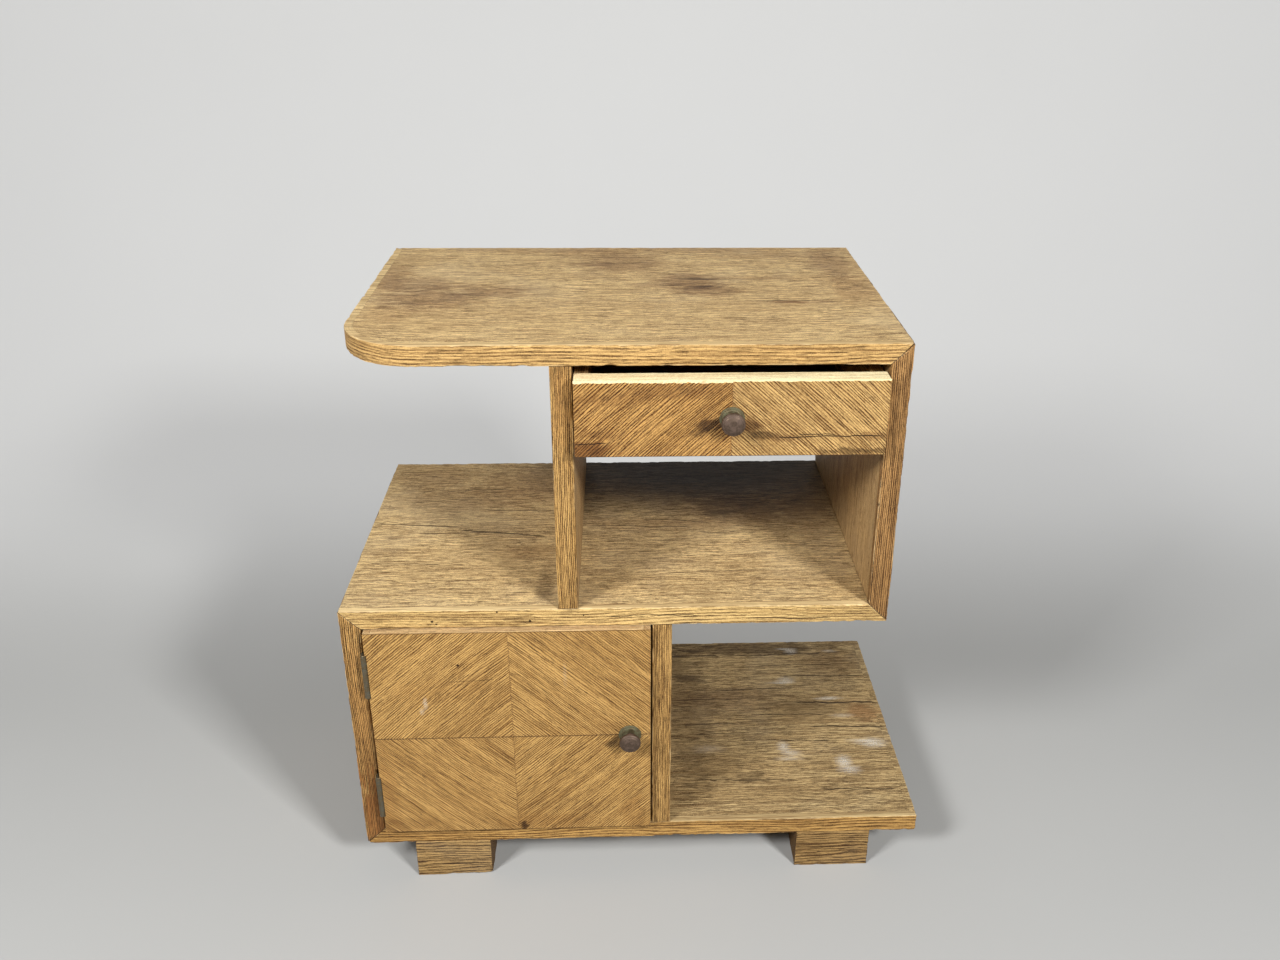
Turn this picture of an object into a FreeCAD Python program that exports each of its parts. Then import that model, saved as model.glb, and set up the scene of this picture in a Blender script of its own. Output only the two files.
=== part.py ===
"""Oak bedside cabinet of stepped form: a hinged cupboard low on the left, a drawer over an open
niche high on the right, three boards, and block feet. Millimetres, +Z up, the front faces -Y.

Every piece is drawn from its own corner and placed by an expression. Lengths across the cabinet
(x) run from the outer face of the lower left side, lengths from front to back (y) from the front
edges of the boards, and heights (z) from the floor.
"""

import math
import os
import re

import FreeCAD
import Part
import Sketcher

SIZES = {
    # Boards and where they stand
    "overall_width": 600.0,
    "board_depth": 347.0,
    "board_thickness": 20.0,
    "foot_height": 47.5,
    "lower_opening_height": 253.0,
    "upper_opening_height": 253.0,
    "upper_reach": 544.0,
    "top_setback": 23.0,
    "top_corner_radius": 72.0,
    "cupboard_width": 288.0,
    "upper_divider_place": 215.0,
    # Edges and joints of the boards
    "lipping_depth": 8.0,
    "arris_radius": 1.2,
    "housing_depth": 5.0,
    "spline_thickness": 4.0,
    "spline_width": 12.0,
    "back_thickness": 5.0,
    "back_setting": 1.0,
    "back_rebate": 6.0,
    "back_clearance": 0.5,
    "pin_width": 1.4,
    "pin_head_width": 2.8,
    "pin_head_height": 0.8,
    "pin_length": 14.0,
    # Feet
    "foot_inset": 51.0,
    "foot_width": 81.5,
    "foot_depth": 72.0,
    "foot_chamfer": 2.0,
    "foot_screw_length": 35.0,
    "foot_screw_radius": 2.25,
    "foot_screw_head": 4.5,
    "foot_screw_head_height": 2.5,
    "foot_sinking": 27.5,
    "foot_sinking_radius": 6.0,
    "foot_screw_side": 20.0,
    # Door
    "door_proud": 7.6,
    "door_thickness": 20.0,
    "door_bottom_gap": 1.5,
    "door_top_gap": 1.0,
    "door_lock_gap": 1.6,
    "door_lipping": 7.0,
    "door_seam_height": 123.0,
    "veneer_thickness": 0.9,
    "door_knob_inset": 21.5,
    "stop_length": 40.0,
    "stop_width": 15.0,
    "stop_height": 12.0,
    "stop_inset": 30.0,
    "stop_chamfer": 2.0,
    "stop_clearance": 0.3,
    # Hinges
    "hinge_length": 50.0,
    "hinge_from_bottom": 21.7,
    "hinge_from_top": 26.4,
    "barrel_diameter": 6.0,
    "barrel_forward": 5.5,
    "leaf_thickness": 1.5,
    "leaf_reach": 15.0,
    "outer_knuckle": 14.0,
    "knuckle_gap": 0.3,
    "notch_clearance": 0.5,
    "hinge_pin_radius": 1.5,
    "hinge_running_clearance": 0.05,
    "hinge_pin_cap_radius": 2.3,
    "hinge_pin_cap_height": 0.8,
    "hinge_screw_radius": 1.2,
    "hinge_screw_head": 2.5,
    "hinge_screw_length": 12.0,
    "hinge_screw_edge": 5.0,
    "hinge_screw_end": 8.0,
    # Drawer
    "drawer_front_height": 74.3,
    "drawer_front_thickness": 20.0,
    "drawer_proud": 13.0,
    "drawer_top_gap": 9.2,
    "drawer_side_gap": 1.4,
    "drawer_room_behind": 29.0,
    "drawer_side_thickness": 13.0,
    "drawer_side_height": 68.0,
    "drawer_side_lift": 2.0,
    "drawer_back_thickness": 10.0,
    "drawer_back_inset": 8.0,
    "drawer_back_housing": 4.5,
    "drawer_back_drop": 4.0,
    "drawer_bottom_thickness": 4.0,
    "drawer_bottom_rise": 8.0,
    "drawer_groove_depth": 5.0,
    "tail_length": 12.0,
    "tail_width": 15.0,
    "tail_taper": 2.0,
    "tail_count": 3,
    "runner_height": 12.0,
    "runner_engagement": 5.0,
    "runner_slack": 0.5,
    "runner_clearance": 0.3,
    "runner_short_of_side": 4.7,
    "runner_screw_radius": 1.75,
    "runner_screw_head": 3.5,
    "runner_screw_length": 18.0,
    "runner_screw_end": 40.0,
    "runner_screw_count": 2,
    # Knobs
    "knob_radius": 11.0,
    "knob_edge_height": 2.6,
    "knob_bevel_height": 1.6,
    "knob_neck_radius": 4.4,
    "knob_flare_height": 12.0,
    "knob_face_radius": 8.0,
    "rose_radius": 11.7,
    "rose_step_radius": 8.2,
    "rose_height": 1.4,
    "rose_step_height": 1.4,
    "bolt_radius": 2.0,
    "bolt_clearance": 0.2,
    "bolt_head_radius": 4.2,
    "bolt_head_height": 2.4,
    "bolt_grip": 8.0,
    # Screw slots
    "slot_width": 0.8,
    "slot_depth": 0.7,
}

DERIVED = {
    "middle_level": "foot_height + board_thickness + lower_opening_height",
    "top_level": "middle_level + board_thickness + upper_opening_height",
    "lower_divider_place": "board_thickness + cupboard_width",
    "side_inner": "upper_reach - board_thickness",
    "knob_projection": "rose_height + rose_step_height + knob_flare_height"
    " + knob_edge_height + knob_bevel_height",
    "front_reach": "max(drawer_proud; door_proud) + knob_projection",
    "depth_centre": "(board_depth - front_reach) / 2",
    "core_depth": "board_depth - lipping_depth",
    "rebate_depth": "back_thickness + back_setting",
    "pin_pilot": "pin_length - pin_head_height - back_thickness",
    "foot_screw_bite": "foot_screw_length - foot_screw_head_height - foot_height + foot_sinking",
    "hinge_pilot": "hinge_screw_length - leaf_thickness",
    "runner_pilot": "runner_screw_length - runner_thickness",
    "bolt_hole_radius": "bolt_radius + bolt_clearance",
    "spline_side": "spline_thickness * sqrt(2) / 4",
    "spline_sink": "spline_width * sqrt(2) / 4",
    "hinge_gap": "barrel_diameter - 2 * leaf_thickness",
    "hinge_axis_x": "board_thickness + hinge_gap / 2",
    "door_left": "board_thickness + hinge_gap",
    "door_level": "foot_height + board_thickness + door_bottom_gap",
    "door_width": "lower_divider_place - door_lock_gap - door_left",
    "door_height": "lower_opening_height - door_bottom_gap - door_top_gap",
    "door_core_thickness": "door_thickness - 2 * veneer_thickness",
    "door_back": "door_thickness - door_proud",
    "lower_hinge_level": "door_level + hinge_from_bottom",
    "upper_hinge_level": "door_level + door_height - hinge_from_top - hinge_length",
    "notch_reach": "barrel_diameter / 2 + notch_clearance",
    "notch_end": "hinge_pin_cap_height + notch_clearance",
    "drawer_left": "upper_divider_place + board_thickness + drawer_side_gap",
    "drawer_width": "side_inner - drawer_side_gap - drawer_left",
    "drawer_length": "board_depth - rebate_depth - drawer_room_behind + drawer_proud",
    "runner_length": "drawer_length - drawer_front_thickness - runner_clearance"
    " - runner_short_of_side",
    "drawer_level": "top_level - drawer_top_gap - drawer_front_height",
    "drawer_core_thickness": "drawer_front_thickness - veneer_thickness",
    "drawer_inner_width": "drawer_width - 2 * drawer_side_thickness",
    "tail_pitch": "drawer_side_height / tail_count",
    "groove_height": "runner_height + 2 * runner_clearance",
    "groove_depth": "runner_engagement + runner_slack",
    "groove_rise": "drawer_side_lift + (drawer_side_height - groove_height) / 2",
    "runner_thickness": "drawer_side_gap + runner_engagement",
    "runner_front": "drawer_front_thickness - drawer_proud + runner_clearance",
    "runner_level": "drawer_level + groove_rise + runner_clearance",
}

PIN_SHARES = (0.25, 0.75)
SAME_PLACE_SHARE = 0.001
ALONG_AXIS_SHARE = 0.5
MITRE_TURN = 45
QUARTER_TURN = 90
FULL_TURN = 360
SLOT_TURN = 35
BACK_PANELS = (
    ("cupboard_back_panel", "cupboard", ("top", "bottom", "left", "right")),
    ("drawer_bay_back", "drawer", ("top", "left", "right")),
)

DOC = FreeCAD.newDocument("bedside_cabinet")
SHEET = DOC.addObject("Spreadsheet::Sheet", "Sizes")
PIECES = []


def fill_sheet():
    """Write each driving size in a cell of its own, named by its alias."""
    for row, (name, size) in enumerate(SIZES.items(), start=1):
        SHEET.set(f"A{row}", name)
        SHEET.set(f"B{row}", str(size))
        SHEET.setAlias(f"B{row}", name)
    DOC.recompute()


def bound(text):
    """The expression with derived names written out and driving names read from the sheet."""

    def swap(match):
        word = match.group(0)
        if word in DERIVED:
            return f"({bound(DERIVED[word])})"
        return f"Sizes.{word}" if word in SIZES else word

    return re.sub(r"[a-z][a-z_]*", swap, str(text))


def value(text):
    """The number that an expression has now."""
    found = SHEET.evalExpression(bound(text))
    return float(getattr(found, "Value", found))


def bind(piece, prop, text):
    """Tie a property of a piece to an expression."""
    piece.setExpression(prop, bound(text))


def place(piece, x="0", y="0", z="0", rotation=None):
    """Place a piece by its corner in the cabinet, measured as the heading says."""
    if rotation:
        piece.Placement = FreeCAD.Placement(FreeCAD.Vector(), FreeCAD.Rotation(*rotation))
    bind(piece, "Placement.Base.x", f"{x} - overall_width / 2")
    bind(piece, "Placement.Base.y", f"{y} - depth_centre")
    bind(piece, "Placement.Base.z", z)


def new_body(label, x="0", y="0", z="0", rotation=None):
    """A body of its own for one piece."""
    body = DOC.addObject("PartDesign::Body", "Body_" + label)
    body.Label = label
    place(body, x, y, z, rotation)
    PIECES.append(body)
    return body


def new_sketch(body, plane, name, offset="0"):
    """A sketch on one of the body's own origin planes, moved along its normal by offset."""
    sketch = body.newObject("Sketcher::SketchObject", name)
    origin = next(f for f in body.Origin.OriginFeatures if f.Role == plane + "_Plane")
    sketch.AttachmentSupport = [(origin, "")]
    sketch.MapMode = "FlatFace"
    if offset != "0":
        bind(sketch, "AttachmentOffset.Base.z", offset)
    return sketch


def fix_point(sketch, geo, end, x, y):
    """Hold one end of a line or arc at x, y from the sketch's origin."""
    for text, kind, axis in ((x, "DistanceX", -2), (y, "DistanceY", -1)):
        if text == "0":
            sketch.addConstraint(Sketcher.Constraint("PointOnObject", geo, end, axis))
        else:
            row = sketch.addConstraint(
                Sketcher.Constraint(kind, -1, 1, geo, end, value(text))
            )
            bind(sketch, f"Constraints[{row}]", text)


def arc_between(start, end, radius, turn):
    """The short arc from start to end, which turns left where turn is 1 and right where -1."""
    chord = end - start
    middle = (start + end) * 0.5
    rise = math.sqrt(max(radius**2 - chord.Length**2 / 4, 0))
    square = FreeCAD.Vector(-chord.y, chord.x, 0).normalize()
    centre = middle + square * rise * turn
    first, last = (start, end) if turn > 0 else (end, start)
    angles = [math.atan2(p.y - centre.y, p.x - centre.x) for p in (first, last)]
    if angles[1] < angles[0]:
        angles[1] += 2 * math.pi
    circle = Part.Circle(centre, FreeCAD.Vector(0, 0, 1), radius)
    return Part.ArcOfCircle(circle, *angles)


def draw_outline(sketch, points):
    """Draw a closed outline. A point is x, y, and for a round stretch that starts there also the
    radius and the way it turns: 1 for left, -1 for right."""
    spots = [FreeCAD.Vector(value(p[0]), value(p[1]), 0) for p in points]
    ends = []
    for i, point in enumerate(points):
        start, end = spots[i], spots[(i + 1) % len(points)]
        if len(point) == 2:
            geo = sketch.addGeometry(Part.LineSegment(start, end))
            ends.append((geo, 1, 2))
            continue
        geo = sketch.addGeometry(arc_between(start, end, value(point[2]), point[3]))
        ends.append((geo, 1, 2) if point[3] > 0 else (geo, 2, 1))
    for i, point in enumerate(points):
        before, here = ends[i - 1], ends[i]
        sketch.addConstraint(
            Sketcher.Constraint("Coincident", before[0], before[2], here[0], here[1])
        )
        fix_point(sketch, here[0], here[1], point[0], point[1])
        if len(point) > 2:
            row = sketch.addConstraint(
                Sketcher.Constraint("Radius", here[0], value(point[2]))
            )
            bind(sketch, f"Constraints[{row}]", point[2])


def draw_circles(sketch, centres, radius):
    """Draw a circle about each centre."""
    for x, y in centres:
        spot = FreeCAD.Vector(value(x), value(y), 0)
        circle = Part.Circle(spot, FreeCAD.Vector(0, 0, 1), value(radius))
        geo = sketch.addGeometry(circle)
        fix_point(sketch, geo, 3, x, y)
        row = sketch.addConstraint(Sketcher.Constraint("Radius", geo, value(radius)))
        bind(sketch, f"Constraints[{row}]", radius)


def rectangle(x0, y0, x1, y1):
    """The corners of a rectangle as an outline."""
    return [(x0, y0), (x1, y0), (x1, y1), (x0, y1)]


def pad(body, plane, points, length, offset="0", reverse=None):
    """Raise an outline. It grows towards +X, +Y or +Z."""
    sketch = new_sketch(body, plane, "Outline", signed_offset(plane, offset))
    draw_outline(sketch, points)
    feature = body.newObject("PartDesign::Pad", "Pad")
    feature.Profile = sketch
    feature.Reversed = plane == "XZ" if reverse is None else reverse
    bind(feature, "Length", length)
    DOC.recompute()
    return feature


def signed_offset(plane, offset):
    """An offset towards +X, +Y or +Z, in the sense of the plane's own normal."""
    if plane != "XZ" or offset == "0":
        return offset
    return f"-({offset})"


def cut(body, plane, length, offset="0", points=None, outlines=(), circles=(), radius=None):
    """Sink outlines or circles into the body, from offset towards +X, +Y or +Z."""
    before = body.Shape.Volume
    sketch = new_sketch(body, plane, "Cut", signed_offset(plane, offset))
    for outline in [points] if points else outlines:
        draw_outline(sketch, outline)
    draw_circles(sketch, circles, radius)
    feature = body.newObject("PartDesign::Pocket", "Pocket")
    feature.Profile = sketch
    feature.Reversed = plane != "XZ"
    bind(feature, "Length", length)
    DOC.recompute()
    if not body.Shape.Volume < before:
        raise ValueError(f"{body.Label}: a cut on {plane} took nothing away")
    return feature


def revolve(body, points):
    """Turn an outline, drawn in x and z, about the body's Z axis."""
    sketch = new_sketch(body, "XZ", "Profile")
    draw_outline(sketch, points)
    feature = body.newObject("PartDesign::Revolution", "Revolution")
    feature.Profile = sketch
    feature.ReferenceAxis = (sketch, ["V_Axis"])
    feature.Angle = FULL_TURN
    DOC.recompute()
    return feature


def repeat(body, feature, sketch_axis, length, count):
    """Repeat a feature in a row."""
    pattern = body.newObject("PartDesign::LinearPattern", "Row")
    pattern.Originals = [feature]
    pattern.Direction = (feature.Profile[0], [sketch_axis])
    bind(pattern, "Length", length)
    bind(pattern, "Occurrences", count)
    body.Tip = pattern
    DOC.recompute()


def soften(body, test, size, kind="Fillet"):
    """Round or chamfer the edges of the body that pass a test on their middle and direction."""
    base = body.Tip
    names = []
    for i, edge in enumerate(base.Shape.Edges, start=1):
        middle = edge.valueAt((edge.FirstParameter + edge.LastParameter) / 2)
        along = edge.tangentAt((edge.FirstParameter + edge.LastParameter) / 2)
        if test(middle, along):
            names.append(f"Edge{i}")
    feature = body.newObject("PartDesign::" + kind, kind)
    feature.Base = (base, names)
    bind(feature, "Radius" if kind == "Fillet" else "Size", size)
    DOC.recompute()


def near(number, text):
    """Whether a coordinate is at an expression's value."""
    return abs(number - value(text)) < value("arris_radius") * SAME_PLACE_SHARE


def runs_along(direction_part):
    """Whether an edge runs along an axis, from that part of its direction."""
    return abs(direction_part) > ALONG_AXIS_SHARE


def mitre(x, z, across, up, into):
    """The end of a board that is cut at 45 degrees, with the groove for its spline: from the
    outer corner at x, z to the inner corner, with into as the side on which the board lies."""
    half = "board_thickness / 2"
    points = [(x, z)]
    for along, sink in ((-1, 0), (-1, 1), (1, 1), (1, 0)):
        points.append(
            (
                f"{x} + {across} * ({half} + {along} * spline_side) + {sink * into[0]} * spline_sink",
                f"{z} + {up} * ({half} + {along} * spline_side) + {sink * into[1]} * spline_sink",
            )
        )
    points.append((f"{x} + {across} * board_thickness", f"{z} + {up} * board_thickness"))
    return points


def front_arrises(body):
    """Ease the two long front edges of a lipping."""

    def at_front(middle, along):
        return near(middle.y, "0") and not runs_along(along.y)

    soften(body, at_front, "arris_radius")


def back_rebate(body, which, edge, x="0", z="0", behind="0"):
    """The recess for a back panel in a board whose corner is at x, z, with its pin holes."""
    x0, z0, x1, z1 = (f"{t} - ({c})" for t, c in zip(panel_corners(which), (x, z, x, z)))
    start = f"{behind} + core_depth - rebate_depth"
    cut(body, "XZ", "rebate_depth", offset=start, points=rectangle(x0, z0, x1, z1))
    start = f"{start} - pin_pilot"
    cut(body, "XZ", "pin_pilot", offset=start, outlines=pin_squares(edge_pins(which, edge), x, z))


def pin_squares(places, x, z):
    """The outlines of the pins at some places, seen from a corner at x, z."""
    half = "pin_width / 2"
    squares = []
    for px, pz in places:
        mx, mz = f"{px} - ({x})", f"{pz} - ({z})"
        corners = (f"{mx} - {half}", f"{mz} - {half}", f"{mx} + {half}", f"{mz} + {half}")
        squares.append(rectangle(*corners))
    return squares


def housing(body, x, z):
    """A groove across a board for the end of a divider."""
    sides = rectangle(x, z, f"{x} + board_thickness", f"{z} + housing_depth")
    cut(body, "XZ", "core_depth", points=sides)


def panel_corners(which):
    """The lower left and upper right corners of a back panel in the cabinet."""
    if which == "cupboard":
        return (
            "board_thickness - back_rebate",
            "foot_height + board_thickness - back_rebate",
            "lower_divider_place + back_rebate",
            "middle_level + back_rebate",
        )
    return (
        "upper_divider_place + board_thickness - back_rebate",
        "drawer_level - back_rebate",
        "side_inner + back_rebate",
        "top_level + back_rebate",
    )


def edge_pins(which, edge):
    """The x and z of the pins along one edge of a back panel, on the middle of its rebate."""
    x0, z0, x1, z1 = panel_corners(which)
    places = []
    for share in PIN_SHARES:
        along_x = f"{x0} + ({x1} - ({x0})) * {share}"
        along_z = f"{z0} + ({z1} - ({z0})) * {share}"
        places.append(
            {
                "top": (along_x, f"{z1} - back_rebate / 2"),
                "bottom": (along_x, f"{z0} + back_rebate / 2"),
                "left": (f"{x0} + back_rebate / 2", along_z),
                "right": (f"{x1} - back_rebate / 2", along_z),
            }[edge]
        )
    return places


def make_lipping(label, x, z, points):
    """A solid lipping on a board's front edge."""
    body = new_body(label, x=x, z=z)
    pad(body, "XZ", points, "lipping_depth")
    front_arrises(body)


def make_bottom_board():
    """The bottom board: mitred to the left side, lipped at its free right end."""
    x, z = "0", "foot_height"
    body = new_body("bottom_board", x=x, y="lipping_depth", z=z)
    end = mitre("0", "0", 1, 1, (1, -1))
    right = "overall_width - lipping_depth"
    outline = end + [(right, "board_thickness"), (right, "0")]
    pad(body, "XZ", outline, "core_depth")
    housing(body, "lower_divider_place", "board_thickness - housing_depth")
    back_rebate(body, "cupboard", "bottom", x, z)
    cut_foot_screw_pilots(body)
    front = [("0", "0"), ("board_thickness", "board_thickness")]
    front += [("overall_width", "board_thickness"), ("overall_width", "0")]
    make_lipping("bottom_lipping", x, z, front)
    lipping = new_body("bottom_end_lipping", x=right, y="lipping_depth", z=z)
    ends = rectangle("0", "0", "lipping_depth", "board_thickness")
    pad(lipping, "XZ", ends, "core_depth")
    soften(lipping, lambda m, a: near(m.x, "lipping_depth") and runs_along(a.y), "arris_radius")


def make_middle_board():
    """The middle board: mitred to the lower left side and to the upper right side."""
    x, z = "0", "middle_level"
    body = new_body("middle_board", x=x, y="lipping_depth", z=z)
    left = mitre("0", "board_thickness", 1, -1, (1, 1))
    right = mitre("upper_reach", "0", -1, 1, (-1, -1))
    pad(body, "XZ", left + right, "core_depth")
    housing(body, "lower_divider_place", "0")
    housing(body, "upper_divider_place", "board_thickness - housing_depth")
    back_rebate(body, "cupboard", "top", x, z)
    front = [("0", "board_thickness"), ("board_thickness", "0"), ("upper_reach", "0")]
    front += [("upper_reach - board_thickness", "board_thickness")]
    make_lipping("middle_lipping", x, z, front)


def top_outline(inset):
    """The top's outline in plan, drawn in by inset along the front, the corner and the left."""
    radius = f"(top_corner_radius - {inset})"
    right = "upper_reach - top_setback"
    return [
        (right, "board_depth"),
        (inset, "board_depth"),
        (inset, f"{inset} + {radius}", radius, 1),
        (f"{inset} + {radius}", inset),
        (right, inset),
    ]


def cut_top_mitre(body, groove):
    """Cut the top's right end at 45 degrees, with the groove for its spline if it has one."""
    right = "upper_reach - top_setback"
    corner = [(right, "0"), (f"{right} - board_thickness", "0")]
    if groove:
        corner = [(right, "0")] + mitre(right, "board_thickness", -1, -1, (-1, 1))[:0:-1]
    cut(body, "XZ", "board_depth", points=corner + [(right, "board_thickness")])


def make_top_board():
    """The top board, with its round front corner and its bent lipping."""
    x, z = "top_setback", "top_level"
    body = new_body("top_board", x=x, z=z)
    pad(body, "XY", top_outline("lipping_depth"), "board_thickness")
    cut_top_mitre(body, groove=True)
    slot_left = f"upper_divider_place - {x}"
    slot = rectangle(slot_left, "0", f"{slot_left} + board_thickness", "housing_depth")
    cut(body, "XZ", "core_depth", offset="lipping_depth", points=slot)
    back_rebate(body, "drawer", "top", x, z, behind="lipping_depth")
    lipping = new_body("top_lipping", x=x, z=z)
    outer = top_outline("0")[1:]
    inner = top_outline("lipping_depth")[1:]
    radius = "(top_corner_radius - lipping_depth)"
    back_way = [inner[3], (*inner[2], radius, -1), inner[1][:2], inner[0]]
    pad(lipping, "XY", outer + back_way, "board_thickness")
    cut_top_mitre(lipping, groove=False)
    ease_top_lipping(lipping)


def ease_top_lipping(body):
    """Ease the outer edges of the bent lipping, top and bottom."""

    def outside(middle, along):
        level = near(middle.z, "0") or near(middle.z, "board_thickness")
        corner = value("top_corner_radius")
        from_centre = math.hypot(middle.x - corner, middle.y - corner)
        bent = abs(from_centre - corner) < corner * SAME_PLACE_SHARE
        outer = near(middle.x, "0") or near(middle.y, "0") or bent
        return outer and level and not runs_along(along.z)

    soften(body, outside, "arris_radius")


def make_lower_left_side():
    """The cupboard's left side, mitred at both ends and cut for the hinge leaves."""
    x, z = "0", "foot_height"
    rise = "(middle_level + board_thickness - foot_height)"
    body = new_body("lower_left_side", x=x, y="lipping_depth", z=z)
    low = mitre("0", "0", 1, 1, (-1, 1))
    high = mitre("0", rise, 1, -1, (-1, -1))[::-1]
    pad(body, "XZ", low + high, "core_depth")
    back_rebate(body, "cupboard", "left", x, z)
    cut_carcass_leaf_seats(body, "leaf_reach - barrel_forward - lipping_depth")
    front = [("0", "0"), ("board_thickness", "board_thickness")]
    front += [("board_thickness", f"{rise} - board_thickness"), ("0", rise)]
    make_lipping("left_side_lipping", x, z, front)
    cut_carcass_leaf_seats(PIECES[-1], "lipping_depth")
    cut_carcass_leaf_pilots(PIECES[-1])


def make_upper_right_side():
    """The right side of the drawer bay, mitred to the middle and top boards."""
    x, z = "side_inner", "middle_level"
    rise = "(top_level + board_thickness - middle_level)"
    body = new_body("upper_right_side", x=x, y="lipping_depth", z=z)
    low = mitre("board_thickness", "0", -1, 1, (1, 1))
    high = mitre("board_thickness", rise, -1, -1, (1, -1))[::-1]
    pad(body, "XZ", low + high, "core_depth")
    back_rebate(body, "drawer", "right", x, z)
    cut_runner_screw_pilots(body, x, z, "0")
    front = [("board_thickness", "0"), ("0", "board_thickness")]
    front += [("0", f"{rise} - board_thickness"), ("board_thickness", rise)]
    make_lipping("right_side_lipping", x, z, front)


def make_divider(label, x, level, rise):
    """An upright between two boards, with its ends housed in them and its front lipped."""
    z = f"{level} - housing_depth"
    body = new_body(label, x=x, y="lipping_depth", z=z)
    sides = rectangle("0", "0", "board_thickness", f"{rise} + 2 * housing_depth")
    pad(body, "XZ", sides, "core_depth")
    which, edge = ("cupboard", "right") if label == "lower_divider" else ("drawer", "left")
    back_rebate(body, which, edge, x, z)
    make_lipping(label + "_lipping", x, level, rectangle("0", "0", "board_thickness", rise))
    return body


def make_dividers():
    """The cupboard's right side, and the left side of the drawer bay and niche."""
    low = "foot_height + board_thickness"
    make_divider("lower_divider", "lower_divider_place", low, "lower_opening_height")
    high = "middle_level + board_thickness"
    body = make_divider("upper_divider", "upper_divider_place", high, "upper_opening_height")
    sink = "board_thickness - runner_pilot"
    cut_runner_screw_pilots(body, "upper_divider_place", f"{high} - housing_depth", sink)


def spline_strip(x, z, across):
    """One strip whose section lies square to a mitre, with its middle at x, z."""
    half, side = value("spline_width / 2"), value("spline_thickness / 2")
    strip = Part.makeBox(2 * half, value("core_depth"), 2 * side)
    strip.translate(FreeCAD.Vector(-half, 0, -side))
    strip.rotate(FreeCAD.Vector(), FreeCAD.Vector(0, 1, 0), across * MITRE_TURN)
    strip.translate(FreeCAD.Vector(value(x), 0, value(z)))
    return strip


def loose_group(label, solids, x="0", y="0", z="0"):
    """Several like solids in one piece."""
    piece = DOC.addObject("Part::Feature", "Group_" + label)
    piece.Label = label
    piece.Shape = Part.makeCompound(solids)
    place(piece, x, y, z)
    PIECES.append(piece)


def make_mitre_splines():
    """The loose tongues that hold the four mitres."""
    low, inner = "foot_height + board_thickness / 2", "board_thickness / 2"
    middle = "middle_level + board_thickness / 2"
    outer, top = "upper_reach - board_thickness / 2", "top_level + board_thickness / 2"
    strips = [
        spline_strip(inner, low, 1),
        spline_strip(inner, middle, -1),
        spline_strip(outer, middle, -1),
        spline_strip(outer, top, 1),
    ]
    loose_group("mitre_splines", strips, y="lipping_depth")


def turned(profile):
    """A solid of revolution about Z from radii and heights, closed on the axis."""
    points = [FreeCAD.Vector(r, 0, h) for r, h in profile]
    points.append(points[0])
    face = Part.Face(Part.makePolygon(points))
    return face.revolve(FreeCAD.Vector(), FreeCAD.Vector(0, 0, 1), FULL_TURN)


def square_pin():
    """A square-shanked pin with a flat head, its head's top at 0 and its end down."""
    parts = []
    for width, top, bottom in (
        ("pin_head_width", "0", "pin_head_height"),
        ("pin_width", "pin_head_height", "pin_length"),
    ):
        side, high = value(width), value(f"{bottom} - {top}")
        corner = FreeCAD.Vector(-side / 2, -side / 2, -value(bottom))
        parts.append(Part.makeBox(side, side, high, corner))
    return parts[0].fuse(parts[1]).removeSplitter()


def countersunk(radius, head, length):
    """A countersunk wood screw with a straight slot, its face at 0 and its point down."""
    profile = [(0, 0), (head, 0), (radius, radius - head)]
    profile += [(radius, -length + 2 * radius), (0, -length)]
    width, depth = value("slot_width"), value("slot_depth")
    slot = Part.makeBox(2 * head, width, depth)
    slot.translate(FreeCAD.Vector(-head, -width / 2, -depth))
    return turned(profile).cut(slot)


def flat_headed_screw():
    """A foot screw, its head's top at 0 and its point down."""
    radius, head = value("foot_screw_radius"), value("foot_screw_head")
    under, end = -value("foot_screw_head_height"), -value("foot_screw_length")
    profile = [(0, 0), (head, 0), (head, under), (radius, under)]
    return turned(profile + [(radius, end + 2 * radius), (0, end)])


def driven(screw, spot, way, turn=0):
    """A copy of a fastener with its head at spot and its point towards way."""
    down = FreeCAD.Vector(0, 0, -1)
    copy = screw.copy()
    copy.rotate(FreeCAD.Vector(), FreeCAD.Vector(0, 0, 1), turn)
    aim = FreeCAD.Placement(FreeCAD.Vector(*spot), FreeCAD.Rotation(down, way))
    copy.Placement = aim.multiply(copy.Placement)
    return copy


def countersink(body, side, spot, head, shank):
    """The countersunk mouth of a screw hole in a face square to X. It narrows towards side."""
    cone = body.newObject("PartDesign::SubtractiveCone", "Countersink")
    bind(cone, "Radius1", head)
    bind(cone, "Radius2", shank)
    bind(cone, "Height", f"{head} - {shank}")
    turn = FreeCAD.Rotation(FreeCAD.Vector(0, 1, 0), QUARTER_TURN * side)
    cone.Placement = FreeCAD.Placement(FreeCAD.Vector(), turn)
    for axis, text in zip("xyz", spot):
        bind(cone, f"Placement.Base.{axis}", text)


def make_back_panels():
    """The two back panels in their rebates, and the pins that hold them."""
    nail, pins = square_pin(), []
    for label, which, edges in BACK_PANELS:
        x0, z0, x1, z1 = panel_corners(which)
        x, z = f"{x0} + back_clearance", f"{z0} + back_clearance"
        body = new_body(label, x=x, y="board_depth - rebate_depth", z=z)
        wide = f"{x1} - ({x0}) - 2 * back_clearance"
        high = f"{z1} - ({z0}) - 2 * back_clearance"
        pad(body, "XZ", rectangle("0", "0", wide, high), "back_thickness")
        places = [spot for edge in edges for spot in edge_pins(which, edge)]
        cut(body, "XZ", "back_thickness", outlines=pin_squares(places, x, z))
        forward = FreeCAD.Vector(0, -1, 0)
        pins += [driven(nail, (value(px), 0, value(pz)), forward) for px, pz in places]
    loose_group("back_panel_pins", pins, y="board_depth - back_setting + pin_head_height")


def foot_screw_places():
    """The x and y of the screws in a foot, seen from its own corner."""
    middle = "foot_depth / 2"
    return [("foot_screw_side", middle), ("foot_width - foot_screw_side", middle)]


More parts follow.
